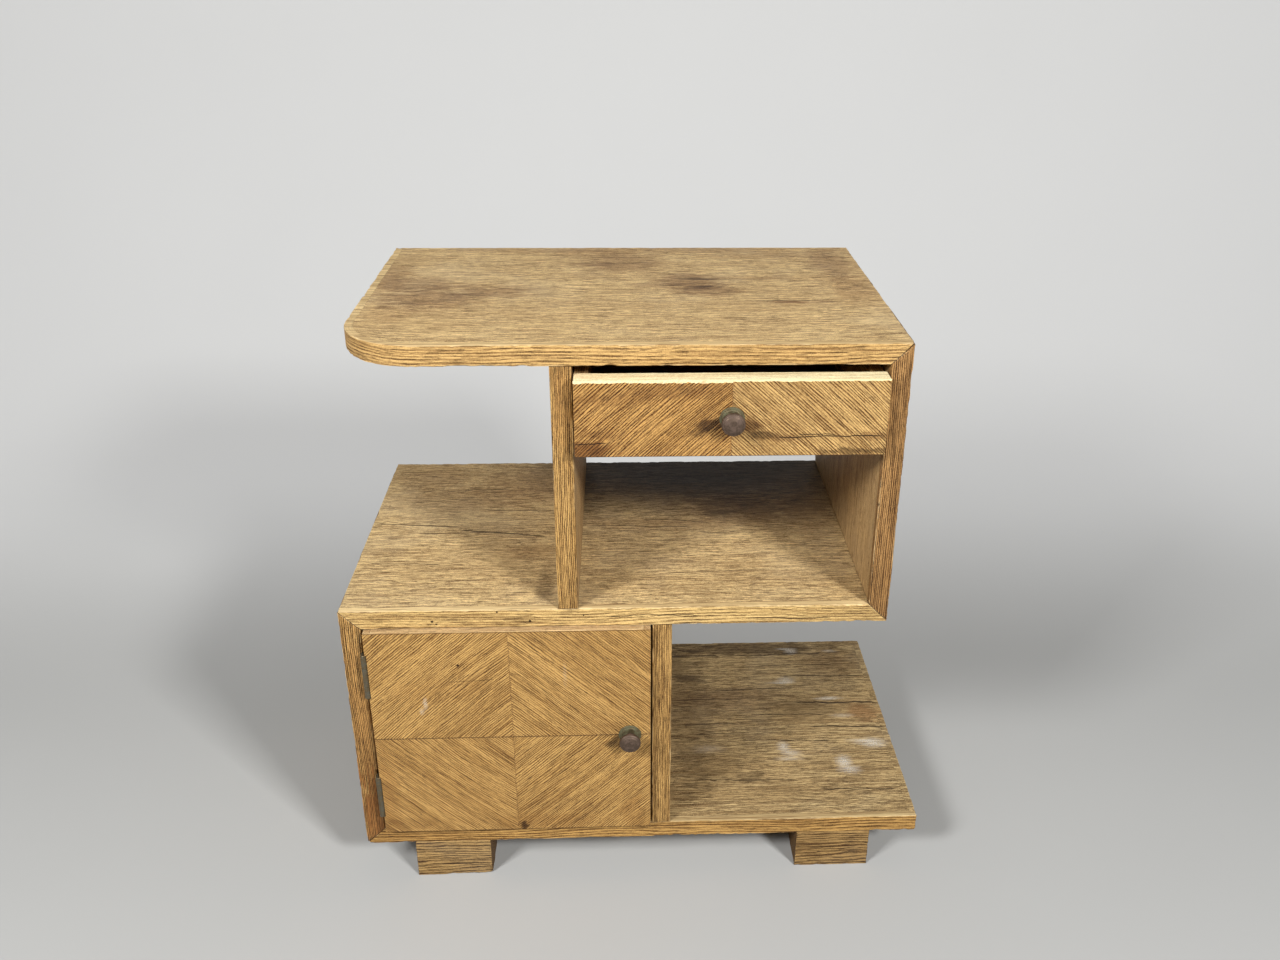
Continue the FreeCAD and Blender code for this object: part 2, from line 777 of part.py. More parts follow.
def feet():
    """Each foot's name and corner."""
    left, right = "foot_inset", "overall_width - foot_inset - foot_width"
    front, back = "0", "board_depth - foot_depth"
    return [
        ("foot_front_left", left, front),
        ("foot_front_right", right, front),
        ("foot_back_left", left, back),
        ("foot_back_right", right, back),
    ]


def cut_foot_screw_pilots(board):
    """Pilot holes for the foot screws in the underside of the bottom board."""
    centres = []
    for _, x, y in feet():
        centres += [(f"{x} + {sx}", f"{y} + {sy} - lipping_depth") for sx, sy in foot_screw_places()]
    cut(board, "XY", "foot_screw_bite", circles=centres, radius="foot_screw_radius")


def make_feet():
    """Four block feet, each held by two screws from below."""
    screw, screws = flat_headed_screw(), []
    head_level = "foot_sinking - foot_screw_head_height"
    for label, x, y in feet():
        body = new_body(label, x=x, y=y)
        pad(body, "XY", rectangle("0", "0", "foot_width", "foot_depth"), "foot_height")
        soften(body, lambda m, a: near(m.z, "0"), "foot_chamfer", "Chamfer")
        places = foot_screw_places()
        cut(body, "XY", "foot_sinking", circles=places, radius="foot_sinking_radius")
        cut(body, "XY", "foot_height", circles=places, radius="foot_screw_radius")
        for sx, sy in places:
            spot = [value(t) for t in (f"{x} + {sx}", f"{y} + {sy}", head_level)]
            screws.append(driven(screw, spot, FreeCAD.Vector(0, 0, 1)))
    loose_group("foot_screws", screws)


def hinge_screw_heights(level="0"):
    """The heights of the two screws in a hinge leaf that stands at a level."""
    ends = ("hinge_screw_end", "hinge_length - hinge_screw_end")
    return [f"{level} + {end}" for end in ends]


def hinge_levels():
    """The two hinges and the heights at which they stand."""
    return [("lower", "lower_hinge_level"), ("upper", "upper_hinge_level")]


def cut_carcass_leaf_seats(body, depth):
    """Recesses for the hinge leaves in the inner face of the left side, from the front of a
    piece to a depth."""
    for _, level in hinge_levels():
        low = f"{level} - foot_height"
        seat = rectangle("0", low, depth, f"{low} + hinge_length")
        cut(body, "YZ", "leaf_thickness", offset="board_thickness - leaf_thickness", points=seat)


def cut_carcass_leaf_pilots(body):
    """Screw holes at the bottom of the recesses, in a piece that starts at the front edge."""
    y = "leaf_reach - barrel_forward - hinge_screw_edge"
    start = "board_thickness - leaf_thickness - hinge_pilot"
    for _, level in hinge_levels():
        places = [(y, height) for height in hinge_screw_heights(f"{level} - foot_height")]
        cut(body, "YZ", "hinge_pilot", offset=start, circles=places, radius="hinge_screw_radius")


def hinge_leaf(label, level, side):
    """A leaf with its knuckles about the pin. The carcass leaf, side -1, has the two end
    knuckles, and the door leaf, side 1, has the long middle one."""
    body = new_body(label, x="hinge_axis_x", y="-barrel_forward", z=level)
    outer = f"{side} * barrel_diameter / 2"
    inner = f"{side} * (barrel_diameter / 2 - leaf_thickness)"
    first, second = (outer, inner) if side < 0 else (inner, outer)
    pad(body, "XY", rectangle(first, "0", second, "leaf_reach"), "hinge_length")
    barrel(body)
    bore = "hinge_pin_radius" if side < 0 else "hinge_pin_radius + hinge_running_clearance"
    cut(body, "XY", "hinge_length", circles=[("0", "0")], radius=bore)
    reach = "(barrel_diameter / 2 + knuckle_gap)"
    zone = rectangle(f"-{reach}", f"-{reach}", reach, reach)
    if side < 0:
        middle = "hinge_length - 2 * outer_knuckle"
        cut(body, "XY", middle, offset="outer_knuckle", points=zone)
    else:
        ends = "outer_knuckle + knuckle_gap"
        cut(body, "XY", ends, points=zone)
        cut(body, "XY", ends, offset=f"hinge_length - ({ends})", points=zone)
    cut_leaf_screw_holes(body, side)


def barrel(body):
    """The full-length barrel from which the knuckles are cut."""
    sketch = new_sketch(body, "XY", "Barrel")
    draw_circles(sketch, [("0", "0")], "barrel_diameter / 2")
    feature = body.newObject("PartDesign::Pad", "Barrel")
    feature.Profile = sketch
    bind(feature, "Length", "hinge_length")
    DOC.recompute()


def cut_leaf_screw_holes(body, side):
    """Countersunk holes through a leaf, wide on the face that shows when the door is open."""
    face = f"{side} * (barrel_diameter / 2 - leaf_thickness)"
    y = "leaf_reach - hinge_screw_edge"
    for height in hinge_screw_heights():
        countersink(body, side, (face, y, height), "hinge_screw_head", "hinge_screw_radius")
    DOC.recompute()
    centres = [(y, height) for height in hinge_screw_heights()]
    start = "-barrel_diameter / 2" if side < 0 else "barrel_diameter / 2 - leaf_thickness"
    cut(body, "YZ", "leaf_thickness", offset=start, circles=centres, radius="hinge_screw_radius")


def make_hinge_pin(label, level):
    """The pin, with a bevelled cap at each end."""
    body = new_body(label, x="hinge_axis_x", y="-barrel_forward", z=level)
    cap, shank = "hinge_pin_cap_radius", "hinge_pin_radius"
    rise = "hinge_pin_cap_height"
    face = f"{cap} - {rise} / 2"
    profile = [
        ("0", f"-{rise}"),
        (face, f"-{rise}"),
        (cap, f"-{rise} / 2"),
        (cap, "0"),
        (shank, "0"),
        (shank, "hinge_length"),
        (cap, "hinge_length"),
        (cap, f"hinge_length + {rise} / 2"),
        (face, f"hinge_length + {rise}"),
        ("0", f"hinge_length + {rise}"),
    ]
    revolve(body, profile)


def make_hinges():
    """Two butt hinges, each of two leaves and a pin, and their screws."""
    screw = countersunk(
        value("hinge_screw_radius"), value("hinge_screw_head"), value("hinge_screw_length")
    )
    fixed, moving = [], []
    y = "leaf_reach - hinge_screw_edge - barrel_forward"
    for name, level in hinge_levels():
        hinge_leaf(f"{name}_hinge_carcass_leaf", level, -1)
        hinge_leaf(f"{name}_hinge_door_leaf", level, 1)
        make_hinge_pin(f"{name}_hinge_pin", level)
        for height in hinge_screw_heights(level):
            for x, way, screws in (("board_thickness", -1, fixed), ("door_left", 1, moving)):
                spot = [value(t) for t in (x, y, height)]
                turn = way * SLOT_TURN * len(screws)
                screws.append(driven(screw, spot, FreeCAD.Vector(way, 0, 0), turn))
    loose_group("hinge_carcass_screws", fixed)
    loose_group("hinge_door_screws", moving)


def cut_hinge_notches(body, from_front):
    """Cut away the door's front corner round each barrel, in a piece that far from its face."""
    wide = "notch_reach - hinge_gap / 2"
    behind = "door_proud - barrel_forward + notch_reach"
    for _, level in hinge_levels():
        low = f"{level} - door_level - notch_end"
        high = f"{level} - door_level + hinge_length + notch_end"
        notch = rectangle("0", low, wide, high)
        cut(body, "XZ", f"{behind} - ({from_front})", points=notch)


def make_door_core():
    """The door's blockboard core."""
    start = "door_lipping"
    body = new_body(
        "door_core",
        x=f"door_left + {start}",
        y="veneer_thickness - door_proud",
        z=f"door_level + {start}",
    )
    sides = rectangle("0", "0", "door_width - 2 * door_lipping", "door_height - 2 * door_lipping")
    pad(body, "XZ", sides, "door_core_thickness")
    bolt = [(f"{door_knob_x()} - {start}", f"door_seam_height - {start}")]
    cut(body, "XZ", "door_core_thickness", circles=bolt, radius="bolt_hole_radius")
    cut_door_screw_pilots(body, start, "hinge_pilot - (door_lipping - leaf_thickness)", "0")


def door_knob_x():
    """The knob's distance from the door's hinge edge."""
    return "door_width - door_knob_inset"


def cut_door_screw_pilots(body, edge, depth, offset):
    """Pilot holes for the hinge screws, in a piece whose edge lies that far inside the door."""
    y = "leaf_reach - hinge_screw_edge - barrel_forward + door_proud - veneer_thickness"
    centres = []
    for _, level in hinge_levels():
        base = f"{level} - door_level - {edge}"
        centres += [(y, height) for height in hinge_screw_heights(base)]
    cut(body, "YZ", depth, offset=offset, circles=centres, radius="hinge_screw_radius")


def make_door_lippings():
    """Solid lippings round the door's core: the two upright ones run the full height."""
    front = "veneer_thickness - door_proud"
    depth, wide = "door_core_thickness", "door_lipping"
    hinge = new_body("door_lipping_hinge_side", x="door_left", y=front, z="door_level")
    upright = rectangle("0", "0", wide, "door_height")
    pad(hinge, "XZ", upright, depth)
    cut_hinge_notches(hinge, from_front="veneer_thickness")
    for _, level in hinge_levels():
        low = f"{level} - door_level"
        back = "leaf_reach - barrel_forward + door_proud - veneer_thickness"
        seat = rectangle("0", low, back, f"{low} + hinge_length")
        cut(hinge, "YZ", "leaf_thickness", points=seat)
    cut_door_screw_pilots(hinge, "0", "door_lipping - leaf_thickness", "leaf_thickness")
    right = "door_left + door_width - door_lipping"
    lock = new_body("door_lipping_lock_side", x=right, y=front, z="door_level")
    pad(lock, "XZ", upright, depth)
    level_sides = rectangle("0", "0", "door_width - 2 * door_lipping", wide)
    top = "door_level + door_height - door_lipping"
    for label, z in (("door_lipping_top", top), ("door_lipping_bottom", "door_level")):
        body = new_body(label, x="door_left + door_lipping", y=front, z=z)
        pad(body, "XZ", level_sides, depth)


def make_door_veneers():
    """Four leaves of veneer that meet at the door's middle, and one over its inside."""
    half_wide, high_part = "door_width / 2", "door_height - door_seam_height"
    knob = f"{door_knob_x()} - {half_wide}"
    quarters = [
        ("door_veneer_lower_left", "0", "0", "door_seam_height", None),
        ("door_veneer_lower_right", half_wide, "0", "door_seam_height", "door_seam_height"),
        ("door_veneer_upper_left", "0", "door_seam_height", high_part, None),
        ("door_veneer_upper_right", half_wide, "door_seam_height", high_part, "0"),
    ]
    for label, x, z, high, knob_height in quarters:
        body = new_body(label, x=f"door_left + {x}", y="-door_proud", z=f"door_level + {z}")
        pad(body, "XZ", rectangle("0", "0", half_wide, high), "veneer_thickness")
        if knob_height:
            hole = [(knob, knob_height)]
            cut(body, "XZ", "veneer_thickness", circles=hole, radius="bolt_hole_radius")
        else:
            notch_veneer(body, "lower" if "lower" in label else "upper", z)
    back = "door_back - veneer_thickness"
    inside = new_body("door_veneer_inside", x="door_left", y=back, z="door_level")
    pad(inside, "XZ", rectangle("0", "0", "door_width", "door_height"), "veneer_thickness")
    hole = [(door_knob_x(), "door_seam_height")]
    cut(inside, "XZ", "veneer_thickness", circles=hole, radius="bolt_hole_radius")


def notch_veneer(body, hinge, z):
    """Open a front leaf of the door's veneer round a barrel."""
    level = dict(hinge_levels())[hinge]
    low = f"{level} - door_level - ({z}) - notch_end"
    high = f"{low} + hinge_length + 2 * notch_end"
    notch = rectangle("0", low, "notch_reach - hinge_gap / 2", high)
    cut(body, "XZ", "veneer_thickness", points=notch)


def make_knob(name, x, front, z):
    """A turned knob: a stepped rose, and a flared head with a bevelled face."""
    rose_top = "rose_height + rose_step_height"
    forward = (FreeCAD.Vector(1, 0, 0), QUARTER_TURN)
    rose = new_body(name + "_rose", x=x, y=front, z=z, rotation=forward)
    hole = "bolt_hole_radius"
    profile = [
        (hole, "0"),
        ("rose_radius", "0"),
        ("rose_radius", "rose_height / 2"),
        ("rose_radius - rose_height / 2", "rose_height"),
        ("rose_step_radius", "rose_height"),
        ("rose_step_radius - rose_step_height / 2", rose_top),
        (hole, rose_top),
    ]
    revolve(rose, profile)
    head = new_body(name, x=x, y=f"{front} - ({rose_top})", z=z, rotation=forward)
    flare, rim = "knob_flare_height", "knob_flare_height + knob_edge_height"
    profile = [
        ("bolt_radius", "0"),
        ("knob_neck_radius", "0"),
        ("knob_neck_radius", "knob_flare_height / 4"),
        ("knob_radius", flare),
        ("knob_radius", rim),
        ("knob_face_radius", f"{rim} + knob_bevel_height"),
        ("0", f"{rim} + knob_bevel_height"),
        ("0", "bolt_grip"),
        ("bolt_radius", "bolt_grip"),
    ]
    revolve(head, profile)


def make_knob_bolt(name, x, inside, z, length):
    """The slotted bolt that holds a knob, with its head against the inside face."""
    body = new_body(name, x=x, y=inside, z=z, rotation=(FreeCAD.Vector(1, 0, 0), QUARTER_TURN))
    profile = [
        ("0", "-bolt_head_height"),
        ("bolt_head_radius - bolt_head_height / 2", "-bolt_head_height"),
        ("bolt_head_radius", "-bolt_head_height / 2"),
        ("bolt_head_radius", "0"),
        ("bolt_radius", "0"),
        ("bolt_radius", length),
        ("0", length),
    ]
    revolve(body, profile)
    side = "slot_width / 2"
    slot = rectangle("-bolt_head_radius", f"-{side}", "bolt_head_radius", side)
    cut(body, "XY", "slot_depth", offset="-bolt_head_height", points=slot)


def make_knobs():
    """The door's knob at the end of its level seam, and the drawer's at its upright one."""
    grip = "rose_height + rose_step_height + bolt_grip"
    x, z = f"door_left + {door_knob_x()}", "door_level + door_seam_height"
    make_knob("door_knob", x, "-door_proud", z)
    make_knob_bolt("door_knob_bolt", x, "door_back", z, f"door_thickness + {grip}")
    x, z = "drawer_left + drawer_width / 2", "drawer_level + drawer_front_height / 2"
    make_knob("drawer_knob", x, "-drawer_proud", z)
    inside = "drawer_front_thickness - drawer_proud"
    make_knob_bolt("drawer_knob_bolt", x, inside, z, f"drawer_front_thickness + {grip}")


def make_door():
    """The cupboard door, and the block that it shuts against."""
    make_door_core()
    make_door_lippings()
    make_door_veneers()
    stop = new_body(
        "door_stop",
        x="lower_divider_place - stop_inset - stop_length",
        y="door_back + stop_clearance",
        z="middle_level - stop_height",
    )
    pad(stop, "XY", rectangle("0", "0", "stop_length", "stop_width"), "stop_height")
    soften(stop, lambda m, a: near(m.z, "0") and runs_along(a.x), "stop_chamfer", "Chamfer")


def tail(root, tip, middle):
    """One dovetail in a drawer side, from root to tip along y and about a middle height."""
    wide, narrow = "tail_width / 2", "(tail_width / 2 - tail_taper)"
    return [
        (root, f"{middle} - {narrow}"),
        (root, f"{middle} + {narrow}"),
        (tip, f"{middle} + {wide}"),
        (tip, f"{middle} - {wide}"),
    ]


def first_tail():
    """The lowest dovetail of the joint between a drawer side and the drawer front."""
    root = "drawer_front_thickness"
    return tail(root, f"{root} - tail_length", "drawer_side_lift + tail_pitch / 2")


def make_drawer_front():
    """The drawer front's core: dovetail sockets at both ends, and a groove for the bottom."""
    x, y, z = "drawer_left", "-drawer_proud", "drawer_level"
    body = new_body("drawer_front", x=x, y=y, z=z)
    face = rectangle("0", "0", "drawer_width", "drawer_front_height")
    pad(body, "XZ", face, "drawer_core_thickness", offset="veneer_thickness")
    for start in ("0", "drawer_width - drawer_side_thickness"):
        socket = cut(body, "YZ", "drawer_side_thickness", offset=start, points=first_tail())
        repeat(body, socket, "V_Axis", "tail_pitch * (tail_count - 1)", "tail_count")
    low = "drawer_side_lift + drawer_bottom_rise"
    right = "drawer_width - drawer_side_thickness"
    groove = rectangle("drawer_side_thickness", low, right, f"{low} + drawer_bottom_thickness")
    start = "drawer_front_thickness - drawer_groove_depth"
    cut(body, "XZ", "drawer_groove_depth", offset=start, points=groove)
    bolt = [("drawer_width / 2", "drawer_front_height / 2")]
    cut(body, "XZ", "drawer_front_thickness", circles=bolt, radius="bolt_hole_radius")
    for label, left in (("drawer_veneer_left", "0"), ("drawer_veneer_right", "drawer_width / 2")):
        leaf = new_body(label, x=f"{x} + {left}", y=y, z=z)
        half = rectangle("0", "0", "drawer_width / 2", "drawer_front_height")
        pad(leaf, "XZ", half, "veneer_thickness")
        hole = [("drawer_width / 2" if left == "0" else "0", "drawer_front_height / 2")]
        cut(leaf, "XZ", "veneer_thickness", circles=hole, radius="bolt_hole_radius")


def make_drawer_side(label, outer):
    """A drawer side with its dovetails, its runner groove outside and its grooves inside. The
    left side, outer 0, has its outside at its own origin."""
    left = outer == 0
    x = "drawer_left" if left else "drawer_left + drawer_width - drawer_side_thickness"
    body = new_body(label, x=x, y="-drawer_proud", z="drawer_level")
    root, back = "drawer_front_thickness", "drawer_length"
    low = "drawer_side_lift"
    plate = rectangle(root, low, back, f"{low} + drawer_side_height")
    pad(body, "YZ", plate, "drawer_side_thickness")
    one = pad(body, "YZ", first_tail(), "drawer_side_thickness")
    repeat(body, one, "V_Axis", "tail_pitch * (tail_count - 1)", "tail_count")
    outside = "0" if left else "drawer_side_thickness - (groove_depth)"
    groove = rectangle(root, "groove_rise", back, "groove_rise + groove_height")
    cut(body, "YZ", "groove_depth", offset=outside, points=groove)
    inside = "drawer_side_thickness - drawer_groove_depth" if left else "0"
    rise = f"{low} + drawer_bottom_rise"
    groove = rectangle(root, rise, back, f"{rise} + drawer_bottom_thickness")
    cut(body, "YZ", "drawer_groove_depth", offset=inside, points=groove)
    inside = "drawer_side_thickness - drawer_back_housing" if left else "0"
    behind = "drawer_length - drawer_back_inset"
    top = f"{low} + drawer_side_height - drawer_back_drop"
    foot = f"{rise} + drawer_bottom_thickness"
    slot = rectangle(f"{behind} - drawer_back_thickness", foot, behind, top)
    cut(body, "YZ", "drawer_back_housing", offset=inside, points=slot)


def make_drawer_back():
    """The drawer's back, housed in the sides and standing on the bottom."""
    wide = "drawer_inner_width + 2 * drawer_back_housing"
    low = "drawer_side_lift + drawer_bottom_rise + drawer_bottom_thickness"
    high = f"drawer_side_lift + drawer_side_height - drawer_back_drop - ({low})"
    body = new_body(
        "drawer_back",
        x="drawer_left + drawer_side_thickness - drawer_back_housing",
        y="drawer_length - drawer_back_inset - drawer_back_thickness - drawer_proud",
        z=f"drawer_level + {low}",
    )
    pad(body, "XZ", rectangle("0", "0", wide, high), "drawer_back_thickness")


def make_drawer_bottom():
    """The drawer's bottom, in the grooves of the sides and, by a tongue, of the front."""
    tongue = "drawer_groove_depth"
    body = new_body(
        "drawer_bottom",
        x=f"drawer_left + drawer_side_thickness - {tongue}",
        y=f"drawer_front_thickness - {tongue} - drawer_proud",
        z="drawer_level + drawer_side_lift + drawer_bottom_rise",
    )
    wide = "drawer_inner_width + 2 * drawer_groove_depth"
    back = f"drawer_length - drawer_front_thickness + {tongue}"
    outline = [
        (tongue, "0"),
        (f"{wide} - {tongue}", "0"),
        (f"{wide} - {tongue}", tongue),
        (wide, tongue),
        (wide, back),
        ("0", back),
        ("0", tongue),
        (tongue, tongue),
    ]
    pad(body, "XY", outline, "drawer_bottom_thickness")


def runner_screw_places(y="0"):
    """How far behind y each screw of a runner stands."""
    last = "runner_length - 2 * runner_screw_end"
    gaps = SIZES["runner_screw_count"] - 1
    return [f"{y} + runner_screw_end + ({last}) * {i} / {gaps}" for i in range(gaps + 1)]


def cut_runner_screw_pilots(body, x, z, start):
    """Pilot holes for a runner's screws in the upright with its corner at x, z."""
    height = f"runner_level + runner_height / 2 - ({z})"
    centres = [(y, height) for y in runner_screw_places("runner_front - lipping_depth")]
    cut(body, "YZ", "runner_pilot", offset=start, circles=centres, radius="runner_screw_radius")


def make_runners():
    """The two strips on which the drawer hangs, screwed to the uprights."""
    screw = countersunk(
        value("runner_screw_radius"), value("runner_screw_head"), value("runner_screw_length")
    )
    left = "upper_divider_place + board_thickness"
    screws = []
    for label, x, side in (
        ("drawer_runner_left", left, -1),
        ("drawer_runner_right", "side_inner - runner_thickness", 1),
    ):
        body = new_body(label, x=x, y="runner_front", z="runner_level")
        strip = rectangle("0", "0", "runner_thickness", "runner_length")
        pad(body, "XY", strip, "runner_height")
        face = "runner_thickness" if side < 0 else "0"
        for y in runner_screw_places():
            mouth = (face, y, "runner_height / 2")
            countersink(body, side, mouth, "runner_screw_head", "runner_screw_radius")
            head = (f"{x} + {face}", f"runner_front + {y}", "runner_level + runner_height / 2")
            spot = [value(t) for t in head]
            turn = SLOT_TURN * len(screws)
            screws.append(driven(screw, spot, FreeCAD.Vector(side, 0, 0), turn))
        DOC.recompute()
        centres = [(y, "runner_height / 2") for y in runner_screw_places()]
        cut(body, "YZ", "runner_thickness", circles=centres, radius="runner_screw_radius")
    loose_group("runner_screws", screws)


def make_drawer():
    """The drawer and its runners."""
    make_drawer_front()
    make_drawer_side("drawer_side_left", 0)
    make_drawer_side("drawer_side_right", 1)
    make_drawer_back()
    make_drawer_bottom()
    make_runners()


def check_pieces():
    """Stop if a feature failed or a piece has no sound shape."""
    for thing in DOC.Objects:
        if {"Invalid", "Error"} & set(thing.State):
            raise ValueError(f"{thing.Name}: {thing.State}")
    for piece in PIECES:
        shape = piece.Shape
        if shape.isNull() or not shape.isValid() or not shape.Solids:
            raise ValueError(f"{piece.Label} has no sound shape")
        if piece.TypeId == "PartDesign::Body" and len(shape.Solids) != 1:
            raise ValueError(f"{piece.Label} fell into {len(shape.Solids)} pieces")


def write_pieces():
    """Write each piece to a STEP file with its own name."""
    os.makedirs("parts", exist_ok=True)
    for piece in PIECES:
        piece.Shape.exportStep(f"parts/{piece.Label}.step")


def main():
    """Build the cabinet and write its pieces."""
    fill_sheet()
    make_bottom_board()
    make_middle_board()
    make_top_board()
    make_lower_left_side()
    make_upper_right_side()
    make_dividers()
    make_mitre_splines()
    make_back_panels()
    make_feet()
    make_door()
    make_hinges()
    make_drawer()
    make_knobs()
    DOC.recompute()
    check_pieces()
    write_pieces()


main()
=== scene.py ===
"""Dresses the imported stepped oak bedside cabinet: worn oak, aged brass and bronze, and a plain studio.

Each wooden piece is a numpy surface around its CAD box, with arrises that are worn by seeded noise. It carries
attributes that the finishes read: grain (along, across and into the wood, in metres), edge (the distance to the
nearest arris), seam (the distance to the nearer end), cut (1 where the surface crosses the grain) and crown (1 where
it faces up). Everything is in metres in the row frame.
"""

import math
import zlib

import bpy
import numpy as np
from bpy.props import FloatProperty, FloatVectorProperty, PointerProperty
from mathutils import Matrix, Vector


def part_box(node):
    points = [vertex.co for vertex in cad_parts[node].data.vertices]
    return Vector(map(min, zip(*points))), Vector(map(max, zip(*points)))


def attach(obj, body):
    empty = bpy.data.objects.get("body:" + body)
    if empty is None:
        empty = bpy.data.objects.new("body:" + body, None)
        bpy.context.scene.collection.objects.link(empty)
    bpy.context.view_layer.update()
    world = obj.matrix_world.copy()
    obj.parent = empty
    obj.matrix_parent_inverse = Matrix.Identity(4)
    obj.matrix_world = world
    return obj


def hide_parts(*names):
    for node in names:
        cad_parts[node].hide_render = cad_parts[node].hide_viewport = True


bl_info = {
    "name": "Stepped oak bedside cabinet",
    "version": (1, 0, 0),
    "blender": (4, 5, 0),
    "location": "3D View > Sidebar > Cabinet",
    "description": "Builds the worn wood, the metal and the studio around the packed cabinet",
    "category": "Object",
}

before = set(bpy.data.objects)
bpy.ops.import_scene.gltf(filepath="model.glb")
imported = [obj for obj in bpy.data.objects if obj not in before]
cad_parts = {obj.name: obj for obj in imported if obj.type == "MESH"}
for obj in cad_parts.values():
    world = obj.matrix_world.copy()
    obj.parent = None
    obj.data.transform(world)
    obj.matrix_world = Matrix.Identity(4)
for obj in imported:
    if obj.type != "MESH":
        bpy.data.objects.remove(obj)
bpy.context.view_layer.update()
MM = 0.001
AXES = {"x": 0, "y": 1, "z": 2}
LATTICE_PRIMES, SEED_PRIME, STIR_PRIME = (73856093, 19349663, 83492791), 7919, 1274126177
BELOW_HALF = 0.45  # the most of a length that an eased end takes up, so that two ends never meet
TOP_CORNER, TOP_EDGE = 64 * MM, 8 * MM  # radius of the top's round corner, and depth of its lipping
SEAT = 1.5 * MM  # depth of the seat that a lipping has for a hinge leaf
FACE_WEAR, DIVIDER_WEAR = 0.6, 0.9  # shares of the wear on boards and uprights, and on the dividers' lippings

# The noise that nibbles the arrises: share, size and step of the seed of each part of it, then the level where it
# starts to bite, the rise from there to the full bite, and the power of that rise
BITES = ((0.35, 26 * MM, 0), (0.3, 9 * MM, 4), (0.35, 4 * MM, 1))
BITE_START, BITE_RISE, BITE_POWER = 0.40, 0.34, 1.4
CHIP_GRIT, SWAY_SIZE = 1.5 * MM, 45 * MM  # sizes of the noise in chips and of the sway of the faces
SHARP_REACH, SHARP_LEAST, FAR = 3 * MM, 0.03, 1.0  # reach of a sharp side, the least share left there, and far off
SEGMENTS, CURVE_STEPS = 56, 4  # round a turned piece, and along an eased corner


def tone(red, green, blue):
    """A colour read on a 0 to 255 scale, as linear light with full opacity."""
    parts = np.array([red, green, blue]) / 255
    linear = np.where(parts <= 0.04045, parts / 12.92, ((parts + 0.055) / 1.055) ** 2.4)
    return (*linear.tolist(), 1.0)


def noise(places, size, seed):
    """Smooth noise from 0 to 1. Each point of a lattice of this size has a random number from a whole-number
    hash, and a place takes the smooth blend of the eight lattice points around it."""
    lattice = places / size
    cell = np.floor(lattice).astype(np.int64)
    part = lattice - cell
    part = part * part * (3 - 2 * part)
    total = np.zeros(len(places))
    for corner in np.ndindex(2, 2, 2):
        at = cell + np.array(corner)
        mixed = np.bitwise_xor.reduce(at * LATTICE_PRIMES, axis=1) ^ (seed * SEED_PRIME)
        mixed = (mixed ^ (mixed >> 13)) * STIR_PRIME
        value = ((mixed ^ (mixed >> 16)) & 0xFFFF) / 0xFFFF
        weight = np.prod(np.where(np.array(corner), part, 1 - part), axis=1)
        total += value * weight
    return total


def rows(low, high, reach, step, breaks):
    """Rows from low to high: close together within reach of both ends, step apart between them, and a pair of
    rows a hair apart at each break."""
    reach = min(reach, 0.49 * (high - low))
    close = reach * np.array([0, 0.1, 0.28, 0.5, 0.75])
    count = max(2, int(round((high - low - 2 * reach) / step)) + 1)
    middle = np.linspace(low + reach, high - reach, count)
    hair = 0.01 * MM
    doubled = [place + side for place in breaks for side in (-hair, hair)]
    doubled = [place for place in doubled if low < place < high]
    return np.unique(np.concatenate([low + close, middle, high - close, doubled]))


def skin(xs, ys, zs):
    """The closed skin of a box of rows, as places and four-cornered faces. Each pair of opposite sides is a grid
    of the other two directions' rows, and rows shared by two sides are the same vertices."""
    counts = (len(xs), len(ys), len(zs))
    low_order, high_order = ((0, 0), (0, 1), (1, 1), (1, 0)), ((0, 0), (1, 0), (1, 1), (0, 1))
    quads = []
    for axis in range(3):
        second, third = (axis + 1) % 3, (axis + 2) % 3
        i, j = np.meshgrid(np.arange(counts[second] - 1), np.arange(counts[third] - 1), indexing="ij")
        for end, order in ((0, low_order), (counts[axis] - 1, high_order)):
            corners = []
            for up, over in order:
                index = [None, None, None]
                index[axis], index[second], index[third] = np.full(i.shape, end), i + up, j + over
                corners.append(np.ravel_multi_index(index, counts).ravel())
            quads.append(np.stack(corners, axis=1))
    quads = np.concatenate(quads)
    used, faces = np.unique(quads, return_inverse=True)
    i, j, k = np.unravel_index(used, counts)
    return np.stack([xs[i], ys[j], zs[k]], axis=1), faces.reshape(quads.shape)


